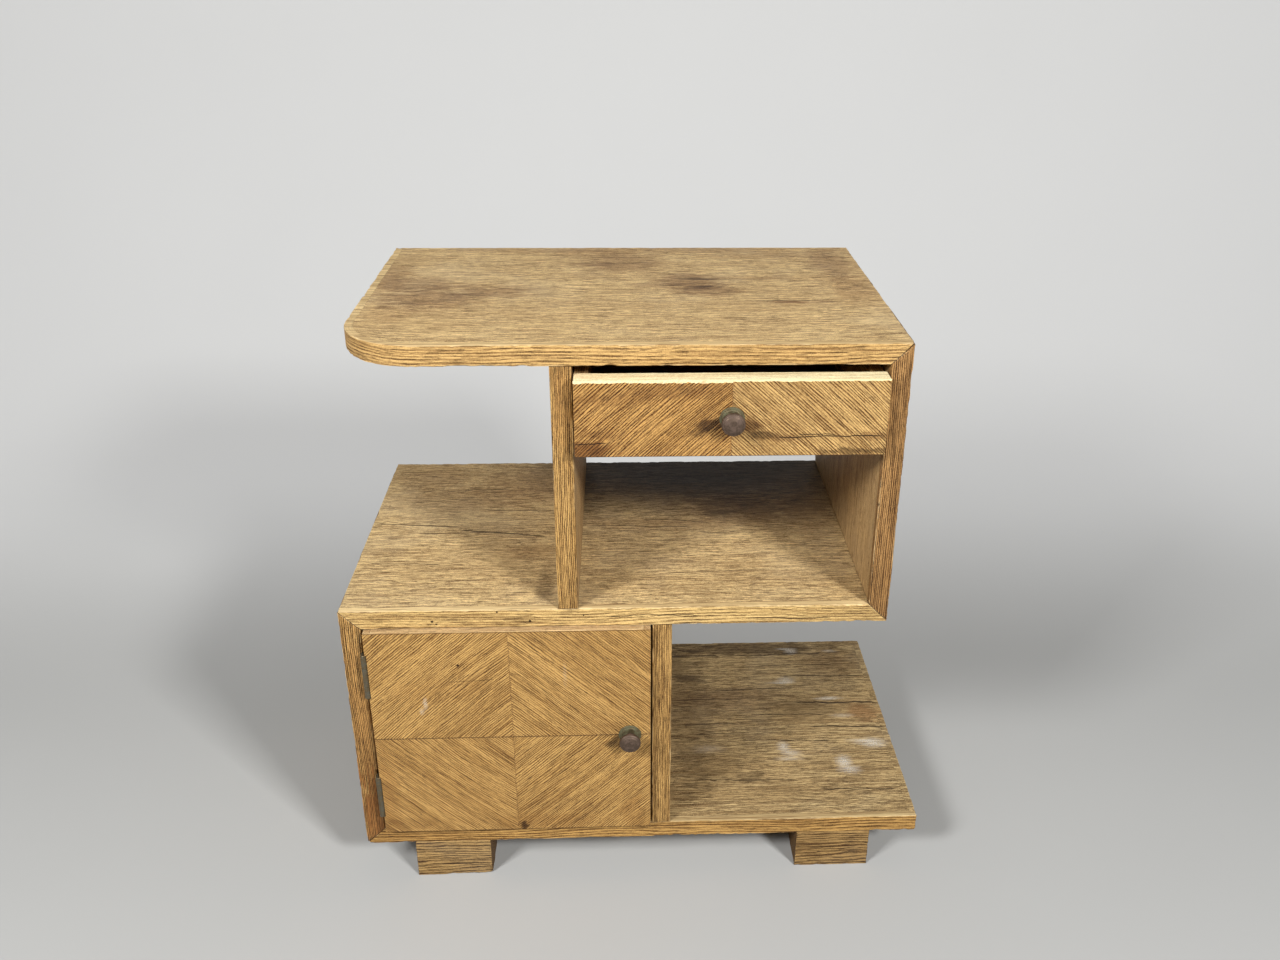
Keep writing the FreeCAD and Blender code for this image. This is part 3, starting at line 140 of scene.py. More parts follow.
def worn_block(low, high, seed, arris, wear, steps, chips, notches, sway, sharp):
    """A block whose skin is drawn in to an inner box plus a ball. The ball's radius is the arris, swollen where
    the noise bites and round each chip (place, size, depth), so that the arrises are nibbled and the faces stay
    flat but for a slow sway. Towards a sharp side (axis, 0 or 1 for low or high) the radius shrinks to almost nothing.
    Places inside a notch (low, high, axis, target) move to the target.
    Returns places, faces, and the distance to the nearest worn arris and the outward direction of each place."""
    low, high = np.array(low, float), np.array(high, float)
    deepest = max([depth for _, _, depth in chips], default=0)
    reach = min(arris + wear + deepest, BELOW_HALF * float((high - low).min()))
    breaks = [[corner[axis] for notch in notches for corner in notch[:2]] for axis in range(3)]
    places, faces = skin(*(rows(low[axis], high[axis], reach, steps[axis], breaks[axis]) for axis in range(3)))
    bite = sum(share * noise(places, size, seed + step) for share, size, step in BITES)
    radius = arris + wear * np.clip((bite - BITE_START) / BITE_RISE, 0, 1) ** BITE_POWER
    for place, size, depth in chips:
        gap = np.linalg.norm(places - np.array(place), axis=1) / size
        radius += depth * np.exp(-gap * gap) * (0.6 + 0.4 * noise(places, CHIP_GRIT, seed + 2))
    gaps = np.stack([places - low, high - places], axis=2)
    for axis, side in sharp:
        radius *= np.clip(gaps[:, axis, side] / SHARP_REACH, SHARP_LEAST, 1)
        gaps[:, axis, side] = FAR
    radius = np.minimum(radius, reach)[:, None]
    inner = np.clip(places, low + radius, high - radius)
    out = places - inner
    out /= np.maximum(np.linalg.norm(out, axis=1), 1e-9)[:, None]
    edge = np.sort(gaps.min(axis=2), axis=1)[:, 1]
    worn = inner + out * radius - out * (sway * noise(places, SWAY_SIZE, seed + 3))[:, None]
    for notch_low, notch_high, axis, target in notches:
        inside = np.all((places > np.array(notch_low)) & (places < np.array(notch_high)), axis=1)
        worn[inside, axis] = target
    return worn, faces.tolist(), edge, out


def lean(places, low, high, along, across, ends):
    """Shears a block so that its ends are mitred. ends holds the shifts along the block at its low and high end,
    each for the low and the high side across it, and they blend evenly between."""
    t = (places[:, along] - low[along]) / (high[along] - low[along])
    c = (places[:, across] - low[across]) / (high[across] - low[across])
    near, far = (first * (1 - c) + second * c for first, second in ends)
    shifted = places.copy()
    shifted[:, along] += near * (1 - t) + far * t
    return shifted


def grid_faces(high, wide, wrap_rows=False, wrap_columns=False):
    """The four-cornered faces of a grid of vertices that are counted row by row. A direction that wraps joins its
    last vertices to its first."""
    i, j = np.meshgrid(np.arange(high - (not wrap_rows)), np.arange(wide - (not wrap_columns)), indexing="ij")
    after, beside = (i + 1) % high, (j + 1) % wide
    corners = [i * wide + j, i * wide + beside, after * wide + beside, after * wide + j]
    return np.stack(corners, axis=-1).reshape(-1, 4)


def turned(profile, closed, seed, dent):
    """A turned surface: the profile of (radius, height) is carried round in even steps, its radius swelling and
    shrinking a little with the noise. A closed profile joins up to itself. An open one starts and ends on the
    axis, where its rings shrink to one vertex. Returns places about the axis z and lists of faces."""
    profile = np.array(profile, float)
    segments = SEGMENTS
    ring = np.linspace(0, 2 * math.pi, segments, endpoint=False)
    body = profile if closed else profile[1:-1]
    places = np.stack([
        (body[:, :1] * np.cos(ring)).ravel(),
        (body[:, :1] * np.sin(ring)).ravel(),
        np.repeat(body[:, 1], segments),
    ], axis=1)
    swell = 1 + dent * (noise(places + 1, 4 * MM, seed) - 0.5)
    places[:, :2] *= swell[:, None]
    quads = grid_faces(len(body), segments, closed, True).tolist()
    if closed:
        return places, quads
    bottom, top = len(places), len(places) + 1
    places = np.concatenate([places, [[0, 0, profile[0, 1]], [0, 0, profile[-1, 1]]]])
    last = (len(body) - 1) * segments
    around = np.arange(segments)
    after = (around + 1) % segments
    quads += np.stack([np.full(segments, bottom), after, around], axis=1).tolist()
    quads += np.stack([np.full(segments, top), last + around, last + after], axis=1).tolist()
    return places, quads


def towards(corner, other, distance):
    """The place at a distance from a corner towards another, but short of half way."""
    away = other - corner
    length = np.linalg.norm(away)
    return corner + away / length * min(distance, BELOW_HALF * length)


def rounded(profile, radius):
    """Eases the corners of a profile: each inner corner becomes a curve of even steps between the two places that
    lie radius away from it on its sides, bent through the corner."""
    profile = np.array(profile, float)
    eased = [profile[:1]]
    t = np.linspace(0, 1, CURVE_STEPS + 1)[:, None]
    for before, corner, after in zip(profile[:-2], profile[1:-1], profile[2:]):
        start, end = towards(corner, before, radius), towards(corner, after, radius)
        eased.append(start * (1 - t) ** 2 + corner * 2 * t * (1 - t) + end * t * t)
    eased.append(profile[-1:])
    return np.concatenate(eased)


def dress(name, places, faces, material, body, nodes, attributes=None):
    """Puts a surface into the scene as the piece that stands for these CAD nodes. The faces turn over if the
    volume that they enclose comes out negative."""
    mesh = bpy.data.meshes.new(name)
    mesh.from_pydata(places.tolist(), [], faces)
    mesh.calc_loop_triangles()
    triangles = np.zeros(len(mesh.loop_triangles) * 3, np.int32)
    mesh.loop_triangles.foreach_get("vertices", triangles)
    a, b, c = (places[triangles.reshape(-1, 3)[:, i]] for i in range(3))
    if np.einsum("ij,ij->i", a, np.cross(b, c)).sum() < 0:
        mesh.flip_normals()
    for key, values in (attributes or {}).items():
        kind, field = ("FLOAT_VECTOR", "vector") if np.ndim(values) > 1 else ("FLOAT", "value")
        layer = mesh.attributes.new(key, kind, "POINT")
        layer.data.foreach_set(field, np.ascontiguousarray(values, np.float32).ravel())
    mesh.shade_smooth()
    mesh.update()
    mesh.materials.append(material)
    piece = bpy.data.objects.new(name, mesh)
    bpy.context.scene.collection.objects.link(piece)
    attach(piece, body)
    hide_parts(*nodes)


def timber(node, material, body, along, wear, arris=0.4 * MM, step=2.2 * MM, side_step=7 * MM, ends=None,
           chips=(), notches=(), clip=None, form=None, grain=None, sway=0.12 * MM, box=None, sharp=""):
    """A worn wooden piece in the box of a CAD node, with its grain along one axis.

    ends are the mitre's shifts (see lean) with the letter of the axis across, clip narrows the box on one axis,
    form bends the finished places, grain maps the unbent places to the wood's own directions, and sharp names the
    sides that lie against other wood, such as "y- x+" for the front and the right."""
    low, high = (np.array(corner) for corner in (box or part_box(node)))
    if clip:
        axis, bottom, top = clip
        low[AXES[axis]], high[AXES[axis]] = bottom, top
    seed = zlib.crc32(node.encode()) % 100000
    main = AXES[along]
    steps = [step if axis == main else side_step for axis in range(3)]
    sides = [(AXES[side[0]], 0 if side[1] == "-" else 1) for side in sharp.split()]
    places, faces, edge, out = worn_block(low, high, seed, arris, wear, steps, chips, notches, sway, sides)
    wood = grain(places) if grain else places[:, [main] + [axis for axis in range(3) if axis != main]]
    offset = seed % np.array([97, 89, 83]) * 0.1
    cut = np.abs(out[:, main])
    seam = np.minimum(places[:, main] - low[main], high[main] - places[:, main])
    crown = np.clip(out[:, 2], 0, 1)
    if ends:
        across, shifts = ends
        places = lean(places, low, high, main, AXES[across], shifts)
    if form:
        places = form(places)
    dress(node + "_worn", places, faces, material, body, [node],
          {"grain": wood + offset, "edge": edge, "seam": seam, "cut": cut, "crown": crown})


def arithmetic(operation, reflected=False):
    """A method of a wire that adds a Math node of this operation. Reflected, it takes the other value first."""

    def method(wire, other):
        values = (other, wire) if reflected else (wire, other)
        return wire.finish.maths(operation, *values)

    return method


class Wire:
    """A socket of a finish's node tree. Arithmetic on it adds Math nodes."""

    __add__, __radd__ = arithmetic("ADD"), arithmetic("ADD", reflected=True)
    __sub__, __rsub__ = arithmetic("SUBTRACT"), arithmetic("SUBTRACT", reflected=True)
    __mul__, __rmul__ = arithmetic("MULTIPLY"), arithmetic("MULTIPLY", reflected=True)
    __truediv__, __pow__, most = arithmetic("DIVIDE"), arithmetic("POWER"), arithmetic("MAXIMUM")

    def __init__(self, finish, socket):
        self.finish = finish
        self.socket = socket

    def size(self):
        return self.finish.maths("ABSOLUTE", self)


class Finish:
    """A material and its nodes. Any node comes from the method node; the others name the ones used most."""

    def __init__(self, name):
        self.material = bpy.data.materials.new(name)
        self.material.use_nodes = True
        self.tree = self.material.node_tree
        self.shader = self.tree.nodes["Principled BSDF"]

    @classmethod
    def of_tree(cls, tree):
        """Works on a tree that exists, such as the world's."""
        made = cls.__new__(cls)
        made.tree = tree
        return made

    def node(self, kind, settings, inputs, output=0):
        """Adds a node: its settings first, then the values or links of its sockets."""
        made = self.tree.nodes.new("ShaderNode" + kind)
        for key, value in settings.items():
            setattr(made, key, value)
        for key, value in inputs.items():
            self.feed(made.inputs[key], value)
        return Wire(self, made.outputs[output])

    def feed(self, socket, value):
        """Links a wire to a socket, or sets the socket's own value."""
        if isinstance(value, Wire):
            self.tree.links.new(value.socket, socket)
        else:
            socket.default_value = value

    def maths(self, operation, *values):
        return self.node("Math", {"operation": operation}, dict(enumerate(values)))

    def smooth(self, value, low, high):
        """0 below low, 1 above high, and an S-shaped rise between them. It falls where low is above high."""
        return self.node("MapRange", {"interpolation_type": "SMOOTHSTEP"},
                         {"Value": value, "From Min": low, "From Max": high})

    def noise(self, places, along, across, detail, roughness=0.5):
        """Noise with this many features to a metre along the first axis and across it."""
        scale = (along, across, across)
        stretched = self.node("VectorMath", {"operation": "MULTIPLY"}, {0: places, 1: scale})
        return self.node("TexNoise", {}, {"Vector": stretched, "Scale": 1.0, "Detail": detail,
                                          "Roughness": roughness})

    def shift(self, places, move):
        return self.node("VectorMath", {"operation": "ADD"}, {0: places, 1: move})

    def vector(self, x, y, z):
        return self.node("CombineXYZ", {}, {"X": x, "Y": y, "Z": z})

    def split(self, places):
        made = self.node("SeparateXYZ", {}, {"Vector": places}).socket.node
        return [Wire(self, made.outputs[i]) for i in range(3)]

    def blend(self, amount, first, second, kind="MIX"):
        """Mixes two colours."""
        return self.node("Mix", {"data_type": "RGBA", "blend_type": kind}, {0: amount, 6: first, 7: second}, 2)

    def attribute(self, name, output):
        return self.node("Attribute", {"attribute_name": name}, {}, output)

    def places(self):
        return self.node("TexCoord", {}, {}, "Object")

    def relief(self, height, depth, strength=1.0):
        """A bump of this depth in metres, into the shader's normal."""
        bump = self.node("Bump", {}, {"Strength": strength, "Distance": depth, "Height": height})
        self.feed(self.shader.inputs["Normal"], bump)

    def surface(self, **inputs):
        """Feeds the shader's sockets, named with low lines for spaces."""
        for key, value in inputs.items():
            self.feed(self.shader.inputs[key.replace("_", " ")], value)
        return self.material


# Scales of the oak's noises: features to a metre along the grain and across it, detail, and roughness if not even
WARP, SLOW, QUICK = (5.0, 16.0, 1.0), (3.5, 26.0, 2.0), (20.0, 170.0, 2.0)
BROAD, FINE, VEIN = (2.6, 60.0, 4.0, 0.6), (10.0, 620.0, 3.0, 0.65), (12.0, 260.0, 3.0, 0.62)
CHOP, PORE, DASH = (70.0, 620.0, 2.0, 0.6), (50.0, 900.0, 2.0, 0.55), (140.0, 1300.0, 1.0)
RAGGED, GRIT = (35.0, 150.0, 3.0, 0.65), (800.0, 800.0, 2.0, 0.6)
CLOUD, WANDER = (9.0, 9.0, 3.0, 0.6), (28.0, 28.0, 3.0, 0.6)

# Levels between which the oak's masks rise, or fall where the first is the higher
STREAK_RISE, LINE_RISE, VEIN_RISE = (0.36, 0.62), (0.515, 0.575), (0.575, 0.61)
RIDGE_FALL, GROOVE_RISE, PORE_RISE, DASH_RISE = (0.34, 0.05), (0.56, 0.78), (0.56, 0.60), (0.59, 0.63)

# Factors from the body colour to light and dark wood, and from dark wood to pores, holes and cracks
LIGHTER, DARKER, DEEPER = (1.42, 1.50, 1.62), (0.24, 0.155, 0.095), (0.34, 0.32, 0.34)
HOLLOW, SPLIT = (0.4, 0.4, 0.4), (0.5, 0.5, 0.5)

# How far the grain and a crack wander, and how far from an arris the wood is rubbed
GRAIN_DRIFT, CRACK_DRIFT, RUB_REACH = 7 * MM, 9 * MM, 2.6 * MM

ASH = (0.30, 0.28, 0.24, 1.0)
STAIN, SHADE = tone(150, 122, 104), tone(178, 150, 120)
# The soot colour darkens real soot marks, and is also the colour of the painted shadow on the middle shelf
SOOT_AND_SHADOW, CHALK = tone(104, 90, 78), tone(214, 208, 196)


def stain_and_shadow_blot(finish, across, up, fray, ellipse, rim=(1.1, 0.6)):
    """The mask of a stain or of a painted shadow: 1 inside an ellipse (its middle and half sizes), 0 outside, with an
    edge that the noise frays along the grain. rim are the shares of the ellipse where it starts and is full."""
    x, y, wide, high = ellipse
    u = (across - x * MM) / (wide * MM)
    v = (up - y * MM) / (high * MM)
    return finish.smooth((u * u + v * v) ** 0.5 + fray * 1.5, *rim)


def gash(finish, across, up, wander, crack):
    """A crack with the grain from one place on a face to another: a line of this width that wanders by the noise
    and thins out towards both ends."""
    x, y, end_x, end_y, width = crack
    middle, half = (x + end_x) / 2 * MM, abs(end_x - x) / 2 * MM
    slope = (end_y - y) / (end_x - x)
    level = up - (across - x * MM) * slope - y * MM + (wander - 0.5) * CRACK_DRIFT
    thin = 1 - ((across - middle) / half) ** 2
    return finish.smooth(level.size() / (width * MM), 1.0, 0.3) * finish.smooth(thin, 0.0, 0.35)


def scaled(colour, factors):
    """A colour with its three parts multiplied, never above white."""
    return tuple(min(part * factor, 1.0) for part, factor in zip(colour, factors)) + (1.0,)


def oak(name, body, sink=1.0, comb=1.9, combed=0.8, swirl=1.0, flecks=0.8, lines=0.8, blotch=0.3, grey=0.0,
        relief=0.4, rough=0.62, raw=None, raw_amount=0.35, crown=None, end_dark=0.35, joints=0.75, bare=None,
        face="xy", stains=(), painted_shadows=(), scuffs=(), cracks=(), holes=(), along=None, gape=0.0, veins=0.0,
        streaks=0.8):
    """Dry oak of one body colour. Year lines are a zigzag across the grain, broken by noise, with open pores in
    their dark half. Streaks, veins, pores and flecks are noise stretched along the grain, and blotches, greying
    and grit are noise on the piece's place.

    comb is the distance between year lines, relief the depth of the pores, both in millimetres, and swirl is how
    far the lines wander. sink darkens the dark wood, and gape opens more pores. Worn arrises turn raw, faces that
    look up take the colour crown, end grain is darker by end_dark, and joints is the strength of the dark line at
    the ends. bare, as (level, reach, colour), bares the wood just below a level.

    The marks lie at places on one face, in millimetres. A stain, a scuff or a painted shadow (painted shade, which
    only darkens what faces up) is a row of an ellipse's middle, its half sizes and a strength, and stains are grouped
    by their colour. A crack is its two ends and a width, and a hole its middle and a radius.

    The worn attributes are read unless along names the axis of the grain, for pieces that have none."""
    body = tuple(body)
    light = scaled(body, LIGHTER)
    dark = scaled(body, [part ** sink for part in DARKER])
    deep = scaled(dark, DEEPER)
    finish = Finish(name)
    where = finish.places()
    x, y, z = finish.split(where)
    if along:
        grain = finish.vector(*{"x": (x, y, z), "y": (y, x, z), "z": (z, x, y)}[along])
    else:
        grain = finish.attribute("grain", "Vector")
    warp = finish.noise(grain, *WARP)
    drift = (warp - 0.5) * GRAIN_DRIFT
    grain = finish.shift(grain, finish.vector(0.0, drift, drift))
    broad = finish.noise(grain, *BROAD)
    fine = finish.noise(grain, *FINE)
    chop = finish.noise(grain, *CHOP)
    pore = finish.noise(grain, *PORE)
    dash = finish.noise(grain, *DASH)
    grit = finish.noise(where, *GRIT)
    cloud = finish.noise(where, *CLOUD)
    ragged = finish.noise(grain, *RAGGED)
    slow = finish.noise(grain, *SLOW)
    quick = finish.noise(grain, *QUICK)
    fray = (ragged - 0.5) * 1.4 + (fine - 0.5) * 1.6 + (chop - 0.5) * 1.0

    _, over, into = finish.split(grain)
    year = (over + into * 0.6) / (comb * MM) + (slow - 0.5) * (5.0 * swirl) + (quick - 0.5) * (1.6 * swirl)
    ridge = finish.maths("PINGPONG", year, 0.5) * 2.0 + (fine - 0.5) * 1.1 + (chop - 0.5) * 1.0
    groove = finish.smooth(ridge, *GROOVE_RISE) * (0.6 + 0.4 * finish.smooth(ragged, 0.36, 0.56))
    tint = finish.blend(finish.smooth(broad, *STREAK_RISE) * streaks, body, light)
    tint = finish.blend(finish.smooth(fine, *LINE_RISE) * (0.42 * lines), tint, dark)
    tint = finish.blend(finish.smooth(ridge, *RIDGE_FALL) * (0.6 * combed), tint, light)
    tint = finish.blend(groove * (1.1 * combed), tint, dark)
    if veins:
        vein = finish.noise(grain, *VEIN)
        tint = finish.blend(finish.smooth(vein, *VEIN_RISE) * veins, tint, dark)
    sunk = 0.6 + 0.4 * groove
    open_pores = finish.smooth(pore, *(level - gape for level in PORE_RISE)) * sunk
    specks = finish.smooth(dash, *(level - gape for level in DASH_RISE)) * sunk
    tint = finish.blend(open_pores * (0.8 * flecks), tint, deep)
    tint = finish.blend(specks * (0.7 * flecks), tint, deep)
    tint = finish.blend(finish.smooth(grit, 0.50, 0.36) * 0.28, tint, dark)
    tint = finish.blend(finish.smooth(grit, 0.52, 0.66) * 0.28, tint, light)
    tint = finish.blend(finish.smooth(cloud, 0.5, 0.75) * blotch, tint, finish.blend(0.5, body, dark))
    if grey:
        ash = finish.blend(0.5, body, ASH)
        tint = finish.blend(finish.smooth(cloud, 0.55, 0.35) * grey, tint, ash)

    if not along:
        edge, seam = finish.attribute("edge", "Fac"), finish.attribute("seam", "Fac")
        if crown:
            up = finish.smooth(finish.attribute("crown", "Fac") + (ragged - 0.5) * 0.5, 0.5, 0.8)
            board_broad = finish.noise(where, *BROAD)
            board_fine = finish.noise(where, *FINE)
            board = finish.blend(finish.smooth(board_broad, *STREAK_RISE) * 0.8, crown, scaled(crown, LIGHTER))
            board = finish.blend(finish.smooth(board_fine, 0.50, 0.58) * 0.6, board, dark)
            tint = finish.blend(up * 0.95, tint, board)
        rubbed = finish.smooth(edge / RUB_REACH + fray * 0.9, 0.6, 0.1) * finish.smooth(ragged, 0.42, 0.58)
        tint = finish.blend(rubbed * (1.3 * raw_amount), tint, raw or light)
        cut = finish.attribute("cut", "Fac")
        tint = finish.blend(finish.smooth(cut, 0.55, 0.9) * end_dark, tint, dark)
        joint = finish.smooth(seam + (ragged - 0.5) * (1.2 * MM), 0.8 * MM, 0.2 * MM) * finish.smooth(cut, 0.97, 0.8)
        tint = finish.blend(joint * joints, tint, deep)
    first, second = (x, z) if face == "xz" else (x, y)
    height = 1 - (0.6 * combed) * groove - 0.35 * open_pores - 0.25 * specks + (grit - 0.5) * 0.35
    if bare:
        level, reach, colour = bare
        gap = (level * MM - second) / (reach * MM) + (ragged - 0.5) * 1.6 + (chop - 0.5) * 0.6
        tint = finish.blend(finish.smooth(gap, 1.05, 0.95), tint, colour)
    for colour, spots in dict(stains).items():
        for *ellipse, strength in spots:
            mask = stain_and_shadow_blot(finish, first, second, fray, ellipse)
            tint = finish.blend(mask * strength, tint, colour, "MULTIPLY")
    # Painted shadow: dark shade painted in the soot colour onto the faces that look up
    for *ellipse, strength in painted_shadows:
        mask = stain_and_shadow_blot(finish, first, second, fray * 0.2, ellipse, (1.25, 0.35))
        mask = mask * finish.smooth(finish.attribute("crown", "Fac"), 0.3, 0.9)
        tint = finish.blend(mask * strength, tint, SOOT_AND_SHADOW, "MULTIPLY")
    for *ellipse, strength in scuffs:
        mask = stain_and_shadow_blot(finish, first, second, fray * 0.45, ellipse, (1.5, 0.0)) * finish.smooth(grit, 0.64, 0.44)
        tint = finish.blend(mask * strength, tint, CHALK)
    if cracks:
        wander = finish.noise(where, *WANDER)
        open_wood = None
        for crack in cracks:
            mask = gash(finish, first, second, wander, crack)
            open_wood = mask if open_wood is None else open_wood.most(mask)
        tint = finish.blend(open_wood * 0.92, tint, scaled(deep, SPLIT))
        height = height - open_wood * 1.2
    for *middle, radius in holes:
        mask = stain_and_shadow_blot(finish, first, second, 0.0, (*middle, radius, radius), (1.1, 0.7))
        tint = finish.blend(mask * 0.92, tint, scaled(deep, HOLLOW))
        height = height - mask
    finish.relief(height + (ragged - 0.5) * 0.2, relief * MM)
    return finish.surface(Base_Color=tint, Roughness=rough + (broad - 0.5) * 0.16 + open_pores * 0.15,
                          Specular_IOR_Level=0.18)


DENTS, SPECKS = (240.0, 240.0, 4.0, 0.6), (1500.0, 1500.0, 2.0, 0.6)  # scales of the metal's noises


def metal(name, colour, patina, grime, rough, metallic, coverage):
    """Aged metal: patina in clouds, grime in fine specks, and a skin that is dented and dull where it is aged."""
    colour = tuple(colour)
    finish = Finish(name)
    where = finish.places()
    cloud = finish.noise(where, *DENTS)
    speck = finish.noise(where, *SPECKS)
    aged = finish.smooth(cloud, 0.62 - 0.25 * coverage, 0.72 - 0.25 * coverage)
    tint = finish.blend(aged * 0.9, colour, patina)
    tint = finish.blend(finish.smooth(speck, 0.52, 0.7) * 0.6, tint, grime)
    finish.relief(cloud + speck * 0.4, 0.12 * MM, 0.6)
    shine = rough + aged * 0.22 + (speck - 0.5) * 0.2
    return finish.surface(Base_Color=tint, Roughness=shine, Metallic=metallic - aged * 0.45)


def paint(label, red, green, blue):
    """A colour that a user may change, read on a 0 to 255 scale."""
    return FloatVectorProperty(name=label, description=f"Body colour: {label.lower()}", subtype="COLOR", size=4,
                               min=0, max=1, default=tone(red, green, blue))


class CabinetWood(bpy.types.PropertyGroup):
    """Body colours and wear of the oak."""

    top: paint("Top", 216, 184, 128)
    shelf: paint("Middle shelf", 213, 183, 129)
    base: paint("Bottom shelf", 184, 157, 109)
    upright: paint("Sides and dividers", 168, 136, 90)
    top_edge: paint("Top edge", 173, 137, 83)
    shelf_edge: paint("Middle edge", 188, 155, 98)
    base_edge: paint("Bottom edge", 166, 127, 70)
    upright_edge: paint("Upright edges", 164, 127, 73)
    side_edge: paint("Right side edge", 142, 105, 61)
    door: paint("Door veneer", 167, 129, 73)
    door_edge: paint("Door edges", 184, 153, 108)
    drawer_left: paint("Left drawer veneer", 162, 121, 66)
    drawer_right: paint("Right drawer veneer", 169, 134, 81)
    drawer_core: paint("Drawer front core", 246, 222, 172)
    inside: paint("Inside veneer", 172, 134, 86)
    foot: paint("Feet", 146, 115, 69)
    softwood: paint("Drawer box and runners", 206, 170, 116)
    plywood: paint("Backs and drawer bottom", 184, 152, 108)
    raw: paint("Rubbed oak", 240, 214, 164)
    wear: FloatProperty(name="Wear", description="How far the worst arrises are nibbled away",
                        subtype="DISTANCE", unit="LENGTH", min=0, max=0.004, default=3.4 * MM)


class CabinetMetal(bpy.types.PropertyGroup):
    """Colours of the hinges, knobs and screws."""

    brass: paint("Hinge brass", 104, 92, 70)
    rose: paint("Rose brass", 92, 82, 58)
    bronze: paint("Knob bronze", 88, 72, 60)
    steel: paint("Screws and pins", 140, 136, 130)


class CabinetStudio(bpy.types.PropertyGroup):
    """The floor and the light."""

    floor: paint("Floor and backdrop", 171, 171, 169)
    right: FloatProperty(name="Right lamp", description="Power of the lamp at the front right", subtype="POWER",
                         unit="POWER", min=0, max=500, default=92.0)
    left: FloatProperty(name="Left lamp", description="Power of the lamp at the front left", subtype="POWER",
                        unit="POWER", min=0, max=500, default=53.0)
    sky: FloatProperty(name="Room light", description="Strength of the even light from the room",
                       min=0, max=3, default=0.1)


def seen_rays(finish):
    """1 for the rays that show a thing to the camera, directly, in a reflection or through it, and 0 for light."""
    rays = finish.node("LightPath", {}, {}).socket.node.outputs
    camera, glossy, through = (Wire(finish, rays[f"Is {kind} Ray"]) for kind in ("Camera", "Glossy", "Transmission"))
    return camera.most(glossy).most(through)


def backdrop_finish(colour):
    """Pale matt plaster. Far from the cabinet it is lifted a little where the camera or a reflection sees it, so
    that it stays pale."""
    finish = Finish("studio floor")
    where = finish.places()
    cloud = finish.noise(where, 3.0, 3.0, 2.0)
    tint = finish.blend(cloud, scaled(colour, (0.95, 0.95, 0.95)), tuple(colour))
    x, y, _ = finish.split(where)
    far = finish.smooth(y, 0.1, 0.9).most(finish.smooth(y, -1.6, -3.6)).most(finish.smooth(x.size(), 1.4, 3.4))
    lift = finish.blend(far * seen_rays(finish), (0, 0, 0, 1), (0.3, 0.3, 0.3, 1))
    return finish.surface(Base_Color=tint, Roughness=0.9, Emission_Color=lift, Emission_Strength=1.0,
                          Specular_IOR_Level=0.2)


# The photo's camera: yaw, pitch and roll in degrees, its place, its lens and sensor in millimetres, and its shifts
CAMERA_TURN, CAMERA_PLACE = (2.95, -25.23, 0.67), (-0.0206, -1.1349, 0.9461)
CAMERA_LENS, CAMERA_SENSOR, CAMERA_SHIFT = 32.49, 36.0, (-0.028, -0.0037)


def photo_camera(context):
    """The camera that the photo was taken with: high, close and tilted down."""
    yaw, pitch, roll = (math.radians(angle) for angle in CAMERA_TURN)
    forward = Vector((math.sin(yaw) * math.cos(pitch), math.cos(yaw) * math.cos(pitch), math.sin(pitch)))
    level = Vector((math.cos(yaw), -math.sin(yaw), 0))
    upright = level.cross(forward)
    right = level * math.cos(roll) + upright * math.sin(roll)
    up = upright * math.cos(roll) - level * math.sin(roll)
    camera = bpy.data.cameras.new("camera")
    camera.sensor_width, camera.lens = CAMERA_SENSOR, CAMERA_LENS
    camera.shift_x, camera.shift_y = CAMERA_SHIFT
    eye = bpy.data.objects.new("camera", camera)
    turn = Matrix((right, up, -forward)).transposed().to_4x4()
    eye.matrix_world = Matrix.Translation(CAMERA_PLACE) @ turn
    context.scene.collection.objects.link(eye)
    return eye


def span(node, axis):
    """The lowest and highest place of a CAD node on one axis."""
    low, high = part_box(node)
    return low[AXES[axis]], high[AXES[axis]]


def thickness(node, axis):
    low, high = span(node, axis)
    return high - low


def corner_map(places):
    """Rounds the top board's front left corner: the square of places before its centre is pressed to a quarter
    disc, where u and v become u times the root of 1 - v²/2, and v times the root of 1 - u²/2."""
    low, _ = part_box("top_board")
    radius = TOP_CORNER
    centre = np.array([low[0], low[1]]) + radius
    part = (centre - places[:, :2]) / radius
    inside = np.all(part > 0, axis=1)
    u, v = part[inside, 0], part[inside, 1]
    bent = places.copy()
    bent[inside, 0] = centre[0] - radius * u * np.sqrt(np.maximum(1 - v * v / 2, 0))
    bent[inside, 1] = centre[1] - radius * v * np.sqrt(np.maximum(1 - u * u / 2, 0))
    return bent


def around_the_top(places):
    """Bends a straight strip: first forwards along the left end, then round the corner, then to the right."""
    low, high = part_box("top_lipping")
    radius = TOP_CORNER + TOP_EDGE
    centre = (low[0] + radius, low[1] + radius)
    side_run, bend_run = high[1] - centre[1], radius * math.pi / 2
    run, inward = places[:, 0], places[:, 1]
    angle = np.clip((run - side_run) / radius, 0, math.pi / 2)
    before = np.maximum(side_run - run, 0)
    after = np.maximum(run - side_run - bend_run, 0)
    return np.stack([
        centre[0] - (radius - inward) * np.cos(angle) + after,
        centre[1] - (radius - inward) * np.sin(angle) + before,
        places[:, 2],
    ], axis=1)


def folded(seam_x, seam_z, angle, bend, above=1):
    """The grain of matched veneer: places are folded over the seams, and turned so that the grain runs at the
    angle. Where above is -1 there is only the upright seam and the grain falls away from it. bend curves the
    grain with the distance along it."""
    cosine, sine = math.cos(angle), math.sin(angle)

    def grain(places):
        across = np.abs(places[:, 0] - seam_x)
        up = places[:, 2] - seam_z
        up = np.abs(up) if above > 0 else up
        along = across * cosine - up * sine
        over = across * sine + up * cosine + bend * along * along
        return np.stack([along, over, places[:, 1]], axis=1)

    return grain
